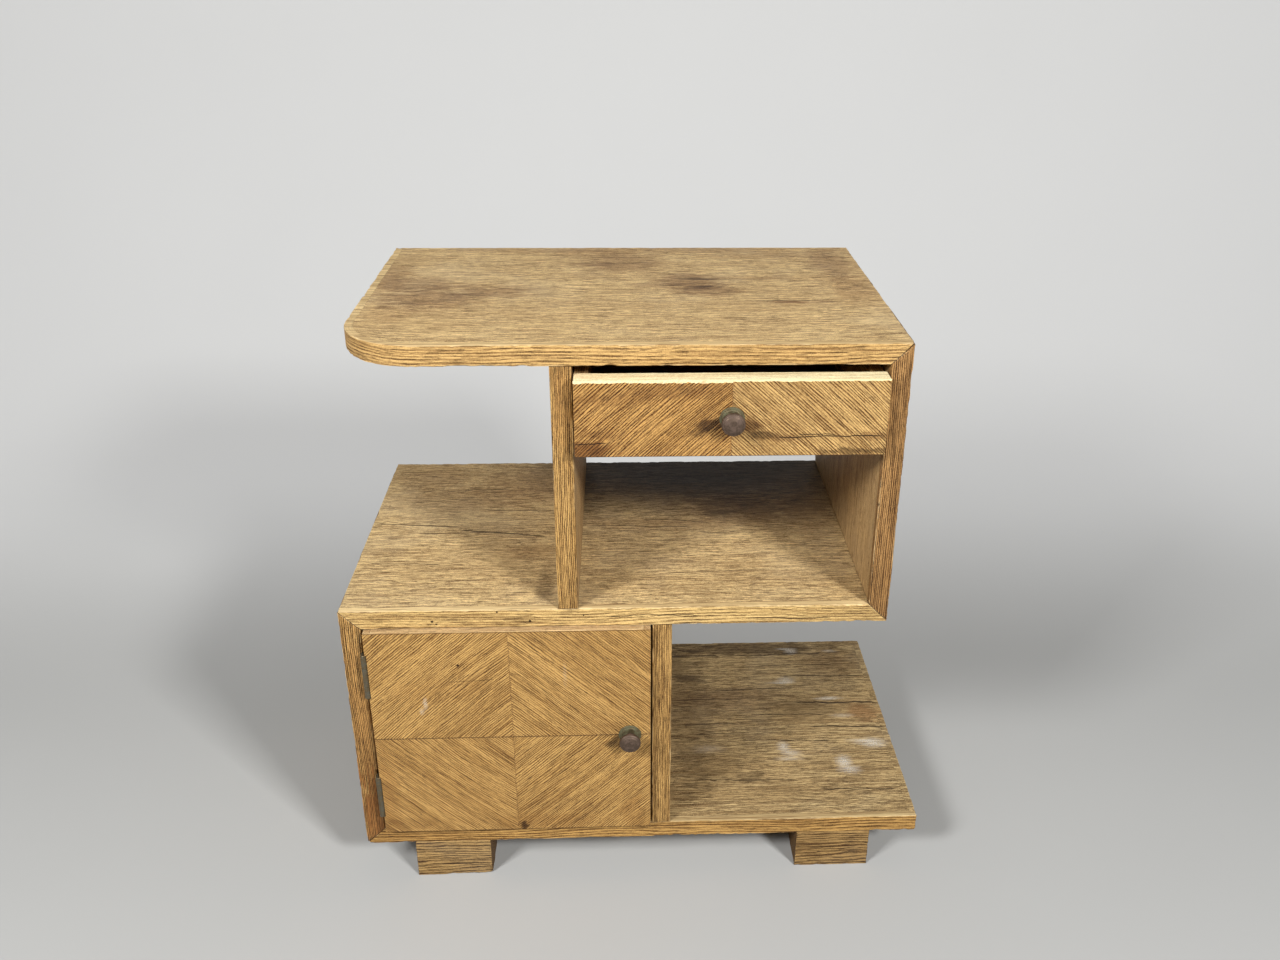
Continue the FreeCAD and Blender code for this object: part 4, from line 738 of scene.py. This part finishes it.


# Where the marks of wear and the painted shadows lie, in millimetres (see oak)
TOP_STAINS = {
    STAIN: [
        (50, 44, 34, 40, 0.6), (74, 16, 34, 26, 0.55), (20, 34, 26, 10, 0.35), (-16, 124, 46, 46, 0.5),
        (-52, 116, 30, 10, 0.4), (-208, -14, 50, 40, 0.55), (-228, 36, 44, 30, 0.4), (-150, 8, 44, 20, 0.55),
        (146, -28, 22, 5, 0.85), (184, -28, 14, 4, 0.6), (214, 120, 24, 70, 0.5),
    ],
    SOOT_AND_SHADOW: [(56, 56, 22, 6, 0.5), (66, 26, 30, 4, 0.5), (50, 38, 14, 4, 0.4)],
    SHADE: [
        (-60, 160, 44, 18, 0.3), (-182, 30, 50, 14, 0.3), (-262, 60, 24, 60, 0.5), (150, 150, 80, 14, 0.35),
        (20, 176, 240, 14, 0.35), (-244, -60, 26, 34, 0.3), (220, 20, 26, 60, 0.4), (150, 60, 90, 10, 0.25),
    ],
}
TOP_CRACKS = [
    (44, 58, 140, 54, 1.2), (112, -24, 172, -22, 1.1), (-280, 72, -246, 70, 1.0), (-60, 118, 30, 122, 0.7),
    (150, 150, 240, 146, 0.9), (100, 92, 190, 96, 0.7), (-200, 108, -120, 112, 0.7), (30, 20, 84, 17, 0.9),
    (-240, -30, -190, -34, 0.7),
]
# Painted shadow at the back of the middle shelf, where the drawer bay above shades it
SHELF_PAINTED_SHADOWS = [(78, 190, 240, 150, 0.75), (78, 190, 210, 120, 0.9)]
SHELF_STAINS = {
    STAIN: [(110, 60, 80, 34, 0.5)],
    SOOT_AND_SHADOW: [(92, 46, 24, 10, 0.6), (-70, 90, 26, 90, 0.45), (-100, -110, 10, 40, 0.4)],
    SHADE: [
        (-200, 90, 80, 36, 0.3), (-130, 124, 60, 50, 0.35), (-250, 150, 50, 40, 0.35), (40, 24, 130, 14, 0.35),
        (-120, -40, 34, 18, 0.35), (190, 60, 30, 80, 0.35),
    ],
}
SHELF_CRACKS = [
    (-298, 31, -200, 18, 1.4), (-205, 12, -100, -6, 1.5), (-180, 60, -96, 56, 1.0), (-290, -60, -210, -66, 0.8),
    (-60, 20, 60, 12, 1.0), (20, -90, 140, -86, 0.7), (-240, 110, -150, 116, 1.0), (0, 34, 80, 22, 1.2),
    (-270, 80, -190, 92, 0.8), (-250, 4, -150, 6, 0.8), (60, 0, 130, -3, 0.8),
]
BASE_STAINS = {
    SOOT_AND_SHADOW: [
        (56, 40, 34, 150, 0.45), (150, 176, 120, 18, 0.75), (210, 40, 50, 16, 0.35), (122, -88, 20, 10, 0.5),
        (132, -80, 8, 4, 0.5), (60, 110, 30, 8, 0.6),
    ],
    STAIN: [(110, 60, 80, 22, 0.4), (250, 140, 40, 30, 0.4)],
    tone(190, 132, 84): [(276, 30, 22, 20, 0.45)],
}
BASE_SCUFFS = [
    (204, 166, 8, 7, 0.55), (197, 172, 12, 2.5, 0.6), (188, 100, 12, 8, 0.6), (182, 95, 16, 2.5, 0.6),
    (238, 60, 16, 4, 0.75), (276, -30, 15, 9, 0.75), (268, -26, 20, 4, 0.5), (168, -34, 7, 10, 0.7),
    (176, -46, 12, 6, 0.55), (236, -64, 9, 12, 0.8), (240, -78, 13, 7, 0.7), (256, 166, 10, 3, 0.45),
    (250, 24, 14, 4, 0.35), (80, -36, 18, 8, 0.25), (172, -56, 16, 4, 0.4),
]
BASE_CRACKS = [
    (188, 53, 300, 50, 2.0), (204, 4, 300, 1, 1.8), (120, -20, 230, -24, 0.8), (90, 80, 200, 84, 1.0),
    (180, 110, 290, 108, 1.3), (60, -90, 180, -94, 0.8), (30, 160, 110, 158, 1.8), (130, 158, 250, 162, 1.6),
    (140, 30, 230, 27, 1.0), (50, 10, 120, 13, 1.0), (60, -8, 130, -5, 0.9), (150, 134, 260, 136, 1.0),
    (40, 60, 130, 62, 0.9), (200, -110, 290, -112, 0.9),
]
MIDDLE_EDGE_CRACKS = [(-40, 331, 60, 331, 0.6), (100, 326, 190, 327, 0.6)]
MIDDLE_EDGE_HOLES = [(-209, 328, 1.5), (-113, 327, 1.5), (-145, 338, 1.1), (-205, 325, 1.0), (-60, 333, 1.0)]
DOOR_STAINS = {
    SOOT_AND_SHADOW: [(-20, 188, 16, 10, 0.6), (-34, 180, 12, 5, 0.5), (-186, 281, 3, 2.2, 0.9), (-129, 74, 5, 6, 0.9)],
    STAIN: [(-30, 204, 12, 5, 0.3), (-250, 80, 40, 8, 0.3)],
    SHADE: [
        (-110, 80, 60, 10, 0.3), (-270, 120, 12, 60, 0.35), (-200, 250, 60, 16, 0.2), (-12, 90, 14, 24, 0.35),
    ],
}
DOOR_SCUFFS = [(-222, 236, 2.4, 7, 0.42), (-226, 226, 2.4, 4, 0.3), (-80, 268, 2, 14, 0.12)]
UPRIGHT_EDGE_STAINS = {
    tone(176, 126, 92): [(-290, 84, 16, 60, 0.6)],
    tone(192, 150, 118): [(-290, 190, 12, 130, 0.35)],
    tone(200, 160, 128): [(-75, 560, 9, 60, 0.25)],
}
DRAWER_STAINS = {
    SOOT_AND_SHADOW: [(60, 541, 13, 7, 0.85), (50, 534, 10, 5, 0.5), (108, 531, 14, 4, 0.7), (200, 514, 40, 3, 0.7)],
    STAIN: [
        (98, 541, 14, 6, 0.7), (79, 536, 14, 8, 0.5), (-50, 517, 22, 9, 0.8), (-40, 532, 20, 5, 0.4),
        (30, 574, 50, 8, 0.45), (-20, 566, 40, 5, 0.3), (212, 529, 16, 4, 0.5), (130, 528, 20, 4, 0.5),
    ],
}
FOOT_HOLES = [(x, y, 6.0) for x in (-229, -187.5, 187.5, 229) for y in (-121.5, 153.5)]
DRAWER_CRACKS = [(118, 528, 222, 528.5, 0.8), (-63, 522.6, -34, 523, 0.7), (140, 531, 176, 530, 0.6)]


class CABINET_OT_stage(bpy.types.Operator):
    """A floor that curves up into a backdrop, a soft lamp on each side, an even room light, and the camera"""

    bl_idname = "cabinet.stage"
    bl_label = "Studio"

    def execute(self, context):
        studio = context.scene.cabinet_studio
        reach, bend, wall, start = 6.0, 0.8, 4.0, 0.8
        curve = np.linspace(0.1, math.pi / 2, 18)
        run = np.concatenate([
            np.stack([np.linspace(-reach, start, 12), np.zeros(12)], axis=1),
            np.stack([start + bend * np.sin(curve), bend - bend * np.cos(curve)], axis=1),
            np.array([[start + bend, bend + wall]]),
        ])
        across = np.linspace(-reach, reach, 9)
        y, x = np.meshgrid(run[:, 0], across, indexing="ij")
        z = np.broadcast_to(run[:, 1][:, None], x.shape)
        faces = grid_faces(len(run), len(across))
        mesh = bpy.data.meshes.new("studio_floor")
        mesh.from_pydata(np.stack([x.ravel(), y.ravel(), z.ravel()], axis=1).tolist(), [], faces.tolist())
        mesh.shade_smooth()
        mesh.materials.append(backdrop_finish(studio.floor))
        floor = bpy.data.objects.new("studio_floor", mesh)
        context.scene.collection.objects.link(floor)

        world = bpy.data.worlds.new("room")
        world.use_nodes = True
        room = Finish.of_tree(world.node_tree)
        light = room.node("Background", {}, {"Color": tone(250, 250, 252), "Strength": studio.sky})
        view = room.node("Background", {}, {"Color": tone(214, 214, 213), "Strength": 1.0})
        both = room.node("MixShader", {}, {0: seen_rays(room), 1: light, 2: view})
        room.feed(world.node_tree.nodes["World Output"].inputs["Surface"], both)
        context.scene.world = world
        middle = Vector((0, 0, 0.3))
        for label, place, size, power in (
            ("right_lamp", (1.45, -2.1, 1.9), 0.45, studio.right),
            ("left_lamp", (-1.3, -1.45, 1.65), 0.5, studio.left),
        ):
            lamp = bpy.data.lights.new(label, "AREA")
            lamp.size, lamp.energy = size, power
            thing = bpy.data.objects.new(label, lamp)
            thing.location = place
            thing.rotation_euler = (middle - Vector(place)).to_track_quat("-Z", "Y").to_euler()
            context.scene.collection.objects.link(thing)
        context.scene.camera = photo_camera(context)
        context.scene.view_settings.view_transform = "Standard"
        return {"FINISHED"}


class CABINET_OT_boards(bpy.types.Operator):
    """The top, the middle shelf and the bottom shelf, mitred where they meet the sides"""

    bl_idname = "cabinet.boards"
    bl_label = "Boards"

    def execute(self, context):
        wood = context.scene.cabinet_wood
        common = dict(comb=2.2, flecks=1.2, lines=1.25, joints=0.0, grey=0.2, gape=0.045)
        top = oak("top face oak", wood.top, **common | dict(
            sink=0.8, comb=2.4, combed=0.22, grey=0.25, rough=0.55, relief=0.25, veins=0.32, streaks=0.45,
            stains=TOP_STAINS, cracks=TOP_CRACKS))
        # The middle shelf's finish carries painted shadow at the back of the niche
        shelf = oak("middle shelf oak", wood.shelf, **common | dict(
            sink=0.85, combed=0.2, rough=0.6, relief=0.3, veins=0.28, streaks=0.4,
            stains=SHELF_STAINS, painted_shadows=SHELF_PAINTED_SHADOWS, cracks=SHELF_CRACKS))
        base = oak("bottom shelf oak", wood.base, **common | dict(
            combed=0.3, lines=1.3, blotch=0.4, rough=0.66, relief=0.35, gape=0.05, veins=0.4, streaks=0.5,
            stains=BASE_STAINS, scuffs=BASE_SCUFFS, cracks=BASE_CRACKS))
        thick = thickness("top_board", "z")
        for node, face, form, sharp, ends in (
            ("top_board", top, corner_map, "y- x-", ((0, 0), (-thick, 0))),
            ("middle_board", shelf, None, "y-", ((thick, 0), (0, -thick))),
            ("bottom_board", base, None, "y- x+", ((0, thick), (0, 0))),
        ):
            timber(node, face, "cabinet", "x", FACE_WEAR * wood.wear, form=form, sharp=sharp,
                   ends=("z", ends))
        timber("bottom_end_lipping", base, "cabinet", "y", wood.wear, sharp="x-",
               grain=lambda places: places)
        return {"FINISHED"}


class CABINET_OT_uprights(bpy.types.Operator):
    """The two sides and the two dividers, with their grain upright"""

    bl_idname = "cabinet.uprights"
    bl_label = "Uprights"

    def execute(self, context):
        wood = context.scene.cabinet_wood
        face = oak("upright face oak", wood.upright, sink=0.85, comb=2.2, combed=0.6, grey=0.1, rough=0.6, relief=0.3)
        wear = FACE_WEAR * wood.wear
        thick = thickness("upper_right_side", "x")
        for node, ends in (
            ("upper_right_side", ((thick, 0), (-thick, 0))),
            ("lower_left_side", ((0, thick), (0, -thick))),
        ):
            timber(node, face, "cabinet", "z", wear, sharp="y-", ends=("x", ends))
        for node in ("upper_divider", "lower_divider"):
            timber(node, face, "cabinet", "z", wear, sharp="y- z- z+",
                   clip=("z", *span(node + "_lipping", "z")))
        return {"FINISHED"}


class CABINET_OT_lippings(bpy.types.Operator):
    """The solid oak edges. The top's is bent round the corner and runs back along the left end"""

    bl_idname = "cabinet.lippings"
    bl_label = "Lippings"

    def execute(self, context):
        wood = context.scene.cabinet_wood
        common = dict(comb=2.2, swirl=0.55, flecks=0.9, lines=0.9, blotch=0.2, relief=0.5, face="xz",
                      raw=tuple(wood.raw), raw_amount=0.25)
        top_edge = oak("top edge oak", wood.top_edge, **common | dict(
            combed=0.6, raw_amount=0.28, crown=scaled(wood.top, (0.80, 0.80, 0.82))))
        shelf_edge = oak("shelf edge oak", wood.shelf_edge, **common | dict(
            combed=0.6, raw_amount=0.35, crown=scaled(wood.shelf, (0.84, 0.84, 0.86)),
            holes=MIDDLE_EDGE_HOLES, cracks=MIDDLE_EDGE_CRACKS))
        base_edge = oak("base edge oak", wood.base_edge, crown=scaled(wood.base, (0.84, 0.84, 0.86)), **common)
        upright_edge = oak("upright edge oak", wood.upright_edge, **common | dict(
            comb=1.8, sink=1.3, combed=0.9, stains=UPRIGHT_EDGE_STAINS))
        side_edge = oak("right side edge oak", wood.side_edge, **common | dict(comb=1.8, sink=1.25, combed=0.9))

        low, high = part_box("top_lipping")
        bottom, top = low[2], high[2]
        thick = top - bottom
        radius = TOP_CORNER + TOP_EDGE
        side_run, bend_run = high[1] - low[1] - radius, radius * math.pi / 2
        total = side_run + bend_run + high[0] - low[0] - radius
        chips = [
            ((side_run + bend_run * 0.45, 0, top), 9 * MM, 1.6 * MM),
            ((side_run + 60 * MM, 0, bottom), 6 * MM, 1.4 * MM),
            ((total - 12 * MM, 0, top), 8 * MM, 1.2 * MM),
        ]
        timber("top_lipping", top_edge, "cabinet", "x", wood.wear, sharp="y+",
               box=((0, 0, bottom), (total, TOP_EDGE, top)), form=around_the_top,
               ends=("z", ((0, 0), (-thick, 0))), chips=chips)
        edge = span("left_side_lipping", "x")[1]
        seats = []
        for level in ("lower", "upper"):
            leaf_low, leaf_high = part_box(level + "_hinge_carcass_leaf")
            seats.append(((edge - SEAT, leaf_low[1], leaf_low[2]), (edge + MM, leaf_high[1] + MM, leaf_high[2]), 0,
                          edge - SEAT))
        for node, face, along, across, ends, notches in (
            ("middle_lipping", shelf_edge, "x", "z", ((thick, 0), (0, -thick)), ()),
            ("bottom_lipping", base_edge, "x", "z", ((0, thick), (0, 0)), ()),
            ("right_side_lipping", side_edge, "z", "x", ((thick, 0), (-thick, 0)), ()),
            ("left_side_lipping", upright_edge, "z", "x", ((0, thick), (0, -thick)), seats),
        ):
            timber(node, face, "cabinet", along, wood.wear, sharp="y+", ends=(across, ends),
                   notches=notches)
        for node in ("upper_divider_lipping", "lower_divider_lipping"):
            timber(node, upright_edge, "cabinet", "z", DIVIDER_WEAR * wood.wear, sharp="y+ z- z+")
        return {"FINISHED"}


class CABINET_OT_feet(bpy.types.Operator):
    """Four block feet with level grain, and the dark mouths of their screw holes underneath"""

    bl_idname = "cabinet.feet"
    bl_label = "Feet"

    def execute(self, context):
        wood = context.scene.cabinet_wood
        # The feet's end faces, their left and right sides, are darkened by end_dark: partly the end grain's own tone,
        # partly painted shade on those sides
        face = oak("foot oak", wood.foot, sink=1.3, comb=2.2, combed=0.9, flecks=1.1, blotch=0.55, grey=0.15,
                   relief=0.45, end_dark=0.65, holes=FOOT_HOLES)
        for side in ("left", "right"):
            for end in ("front", "back"):
                timber(f"foot_{end}_{side}", face, "cabinet", "x", wood.wear, side_step=4 * MM)
        return {"FINISHED"}


class CABINET_OT_door(bpy.types.Operator):
    """The door: four veneer leaves matched to a diamond, four lippings and the inside veneer"""

    bl_idname = "cabinet.door"
    bl_label = "Door"

    def execute(self, context):
        wood = context.scene.cabinet_wood
        veneer = oak("door veneer oak", wood.door, comb=2.2, swirl=0.8, flecks=0.75, lines=0.9, blotch=0.2,
                     rough=0.52, face="xz", raw=tone(110, 78, 46), raw_amount=0.4, end_dark=0.0,
                     stains=DOOR_STAINS, scuffs=DOOR_SCUFFS, holes=[(-186, 281, 0.9), (-238, 92, 0.8)],
                     cracks=[(-200, 262, -150, 264, 0.3)])
        seam_x, seam_z = span("door_veneer_upper_left", "x")[1], span("door_veneer_upper_left", "z")[0]
        grain = folded(seam_x, seam_z, math.radians(42), 0.25)
        room = 0.3 * MM
        notch_edge = span("upper_hinge_door_leaf", "x")[1] + 0.1 * MM
        leaf_notches, lipping_notches = {}, []
        for level in ("lower", "upper"):
            low, high = span(level + "_hinge_pin", "z")
            corner, top, back = (-1, -1, low - room), high + room, span(level + "_hinge_door_leaf", "y")[1]
            leaf_notches[level] = [(corner, (notch_edge, 1, top), 0, notch_edge)]
            lipping_notches.append((corner, (notch_edge, back, top), 0, notch_edge))
        for side in ("left", "right"):
            for level in ("lower", "upper"):
                timber(f"door_veneer_{level}_{side}", veneer, "door", "z", 0.25 * MM,
                       arris=0.15 * MM, side_step=6 * MM, step=3 * MM, grain=grain, sway=0.05 * MM,
                       notches=leaf_notches[level] if side == "left" else ())
        edge = oak("door edge oak", wood.door_edge, sink=0.8, combed=0.5, relief=0.35, joints=0.0,
                   raw=tuple(wood.raw), raw_amount=0.4)
        for name, along, arris, notches in (
            ("top", "x", 0.1 * MM, ()), ("bottom", "x", 0.1 * MM, ()),
            ("hinge_side", "z", 0.2 * MM, lipping_notches), ("lock_side", "z", 0.2 * MM, ()),
        ):
            timber(f"door_lipping_{name}", edge, "door", along, 0.5 * MM, arris=arris,
                   notches=notches)
        inside = oak("inside veneer oak", wood.inside, sink=0.8, combed=0.5, blotch=0.35, relief=0.2, face="xz",
                     stains={STAIN: [(-15, 192, 16, 14, 0.5)]})
        timber("door_veneer_inside", inside, "door", "z", 0.3 * MM, arris=0.15 * MM)
        return {"FINISHED"}


class CABINET_OT_drawer(bpy.types.Operator):
    """The drawer front and its two matched veneer leaves. The dovetails of the sides stand a hair proud of the
    front's ends, so that they show there"""

    bl_idname = "cabinet.drawer"
    bl_label = "Drawer"

    def execute(self, context):
        wood = context.scene.cabinet_wood
        seam = span("drawer_veneer_left", "x")[1]
        foot, head = span("drawer_veneer_left", "z")
        grain = folded(seam, foot, math.radians(43), 0.15, above=-1)
        for side, body, sink, reach in (
            ("left", wood.drawer_left, 1.05, 2.6),
            ("right", wood.drawer_right, 0.95, 1.6),
        ):
            veneer = oak(f"drawer {side} veneer oak", body, sink=sink, comb=2.3, combed=0.95, swirl=0.8,
                         flecks=0.85, lines=0.9, blotch=0.2, rough=0.55, relief=0.45, face="xz",
                         raw=tone(118, 80, 46), raw_amount=0.4, end_dark=0.0, stains=DRAWER_STAINS,
                         cracks=DRAWER_CRACKS, bare=(head / MM, reach, tuple(wood.raw)))
            timber(f"drawer_veneer_{side}", veneer, "drawer", "z", 0.3 * MM, arris=0.15 * MM,
                   side_step=5 * MM, step=3 * MM, grain=grain, sway=0.05 * MM)
        core = oak("drawer front oak", wood.drawer_core, sink=0.6, combed=0.35, flecks=0.4, blotch=0.12,
                   relief=0.3, raw=tuple(wood.raw), end_dark=0.3)
        low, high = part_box("drawer_front")
        hair = 0.08 * MM
        timber("drawer_front", core, "drawer", "x", 0.8 * MM, arris=0.3 * MM,
               box=((low[0] + hair, low[1], low[2]), (high[0] - hair, high[1], high[2])), sway=0.05 * MM)
        return {"FINISHED"}


class CABINET_OT_knobs(bpy.types.Operator):
    """The two turned knobs, each on its stepped rose"""

    bl_idname = "cabinet.knobs"
    bl_label = "Knobs"

    def execute(self, context):
        metals = context.scene.cabinet_metal
        bronze = metal("knob bronze", metals.bronze, tone(84, 66, 54), tone(40, 32, 26), 0.52, 0.75, 0.55)
        brass = metal("rose brass", metals.rose, tone(84, 82, 56), tone(40, 36, 26), 0.5, 0.7, 0.7)
        neck, bore, flare_start, flare_rise, flare_power = 4.4 * MM, 3.0 * MM, 1.5 * MM, 8.5 * MM, 2.2
        for label in ("door", "drawer"):
            low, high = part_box(f"{label}_knob")
            x, z = (low[0] + high[0]) / 2, (low[2] + high[2]) / 2
            seed = zlib.crc32(label.encode()) % 1000

            wide, height = (high[0] - low[0]) / 2 - 0.1 * MM, high[1] - low[1]
            flare = [(neck + (wide - neck) * t ** flare_power, flare_start + flare_rise * t)
                     for t in np.linspace(0, 1, 9)]
            head = rounded([(0, 0), (neck, 0)] + flare + [
                (wide, height - 4.6 * MM), (wide, height - 3.6 * MM), (wide - 1.1 * MM, height - 2.3 * MM),
                (wide - 2.0 * MM, height - 2.1 * MM), (wide - 2.6 * MM, height - 1.5 * MM),
                (wide * 0.45, height - 0.35 * MM), (0, height - 0.2 * MM)], 0.5 * MM)

            low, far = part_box(f"{label}_knob_rose")
            wide, height = (far[0] - low[0]) / 2 - 0.05 * MM, far[1] - low[1]
            ring = rounded([
                (bore, 0), (wide, 0), (wide, height * 0.3), (wide - 0.5 * MM, height * 0.5),
                (wide - 2.0 * MM, height * 0.58), (wide - 2.2 * MM, height * 0.85), (wide - 3.2 * MM, height),
                (bore, height), (bore, height * 0.5)], 0.35 * MM)
            for name, node, profile, back, closed, swell_seed, dent, material, slot in (
                ("knob", "knob", head, high[1], False, seed, 0.012, bronze, "knob_bronze"),
                ("rose", "knob_rose", ring, far[1], True, seed + 5, 0.006, brass, "rose_brass"),
            ):
                places, faces = turned(profile, closed, swell_seed, dent)
                placed = np.stack([x + places[:, 0], back - places[:, 2], z + places[:, 1]], axis=1)
                dress(f"{label}_{name}_turned", placed, faces, material, label, [f"{label}_{node}"])
        return {"FINISHED"}


class CABINET_OT_inside(bpy.types.Operator):
    """Finishes for the CAD nodes that show as they are: the hinges, the drawer box, the backs, the runners, the
    screws and what is inside the door"""

    bl_idname = "cabinet.inside"
    bl_label = "Inside and hinges"

    def execute(self, context):
        wood, metals = context.scene.cabinet_wood, context.scene.cabinet_metal
        brass = metal("hinge brass", metals.brass, tone(84, 80, 66), tone(34, 30, 24), 0.5, 0.8, 0.6)
        steel = metal("screw steel", metals.steel, tone(96, 78, 62), tone(50, 40, 32), 0.45, 0.9, 0.4)
        bronze = metal("bolt bronze", metals.bronze, tone(84, 66, 54), tone(40, 32, 26), 0.45, 0.85, 0.5)
        plain = dict(relief=0.2, rough=0.66, sink=0.7, combed=0.45, flecks=0.5)
        box_long = oak("drawer side wood", wood.softwood, along="y", **plain)
        box_wide = oak("drawer back wood", wood.softwood, along="x", **plain)
        ply = oak("back plywood", wood.plywood, along="x", comb=5.0, **plain)
        core = oak("door core wood", wood.plywood, along="z", comb=5.0, **plain)
        hinges = [f"{level}_hinge_{part}" for level in ("upper", "lower")
                  for part in ("carcass_leaf", "door_leaf", "pin")]
        for material, names in (
            (box_long, ["drawer_side_left", "drawer_side_right", "drawer_runner_left", "drawer_runner_right",
                        "mitre_splines"]),
            (box_wide, ["drawer_back", "door_stop"]),
            (ply, ["drawer_bottom", "cupboard_back_panel", "drawer_bay_back"]),
            (core, ["door_core"]),
            (brass, [*hinges, "hinge_carcass_screws", "hinge_door_screws"]),
            (steel, ["foot_screws", "runner_screws", "back_panel_pins"]),
            (bronze, ["door_knob_bolt", "drawer_knob_bolt"]),
        ):
            for name in names:
                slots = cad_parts[name].data.materials
                slots.clear()
                slots.append(material)
        return {"FINISHED"}


OPERATORS = [
    CABINET_OT_stage, CABINET_OT_boards, CABINET_OT_uprights, CABINET_OT_lippings, CABINET_OT_feet, CABINET_OT_door,
    CABINET_OT_drawer, CABINET_OT_knobs, CABINET_OT_inside,
]
GROUPS = {"cabinet_wood": CabinetWood, "cabinet_metal": CabinetMetal, "cabinet_studio": CabinetStudio}


class CABINET_PT_panel(bpy.types.Panel):
    """Lists the cabinet's operators and what they read."""

    bl_label = "Cabinet"
    bl_idname = "CABINET_PT_panel"
    bl_space_type = "VIEW_3D"
    bl_region_type = "UI"
    bl_category = "Cabinet"

    def draw(self, context):
        for name in GROUPS:
            group = getattr(context.scene, name)
            for key in group.bl_rna.properties.keys()[2:]:  # after the two that every group has
                self.layout.prop(group, key)
        for made in OPERATORS:
            self.layout.operator(made.bl_idname)


CLASSES = [*GROUPS.values(), *OPERATORS, CABINET_PT_panel]


def register():
    for made in CLASSES:
        bpy.utils.register_class(made)
    for name, group in GROUPS.items():
        setattr(bpy.types.Scene, name, PointerProperty(type=group))


def unregister():
    for name in GROUPS:
        delattr(bpy.types.Scene, name)
    for made in reversed(CLASSES):
        bpy.utils.unregister_class(made)


def main():
    register()
    for made in OPERATORS:
        getattr(bpy.ops.cabinet, made.bl_idname.split(".")[1])()
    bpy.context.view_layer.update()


if __name__ == "__main__":
    main()
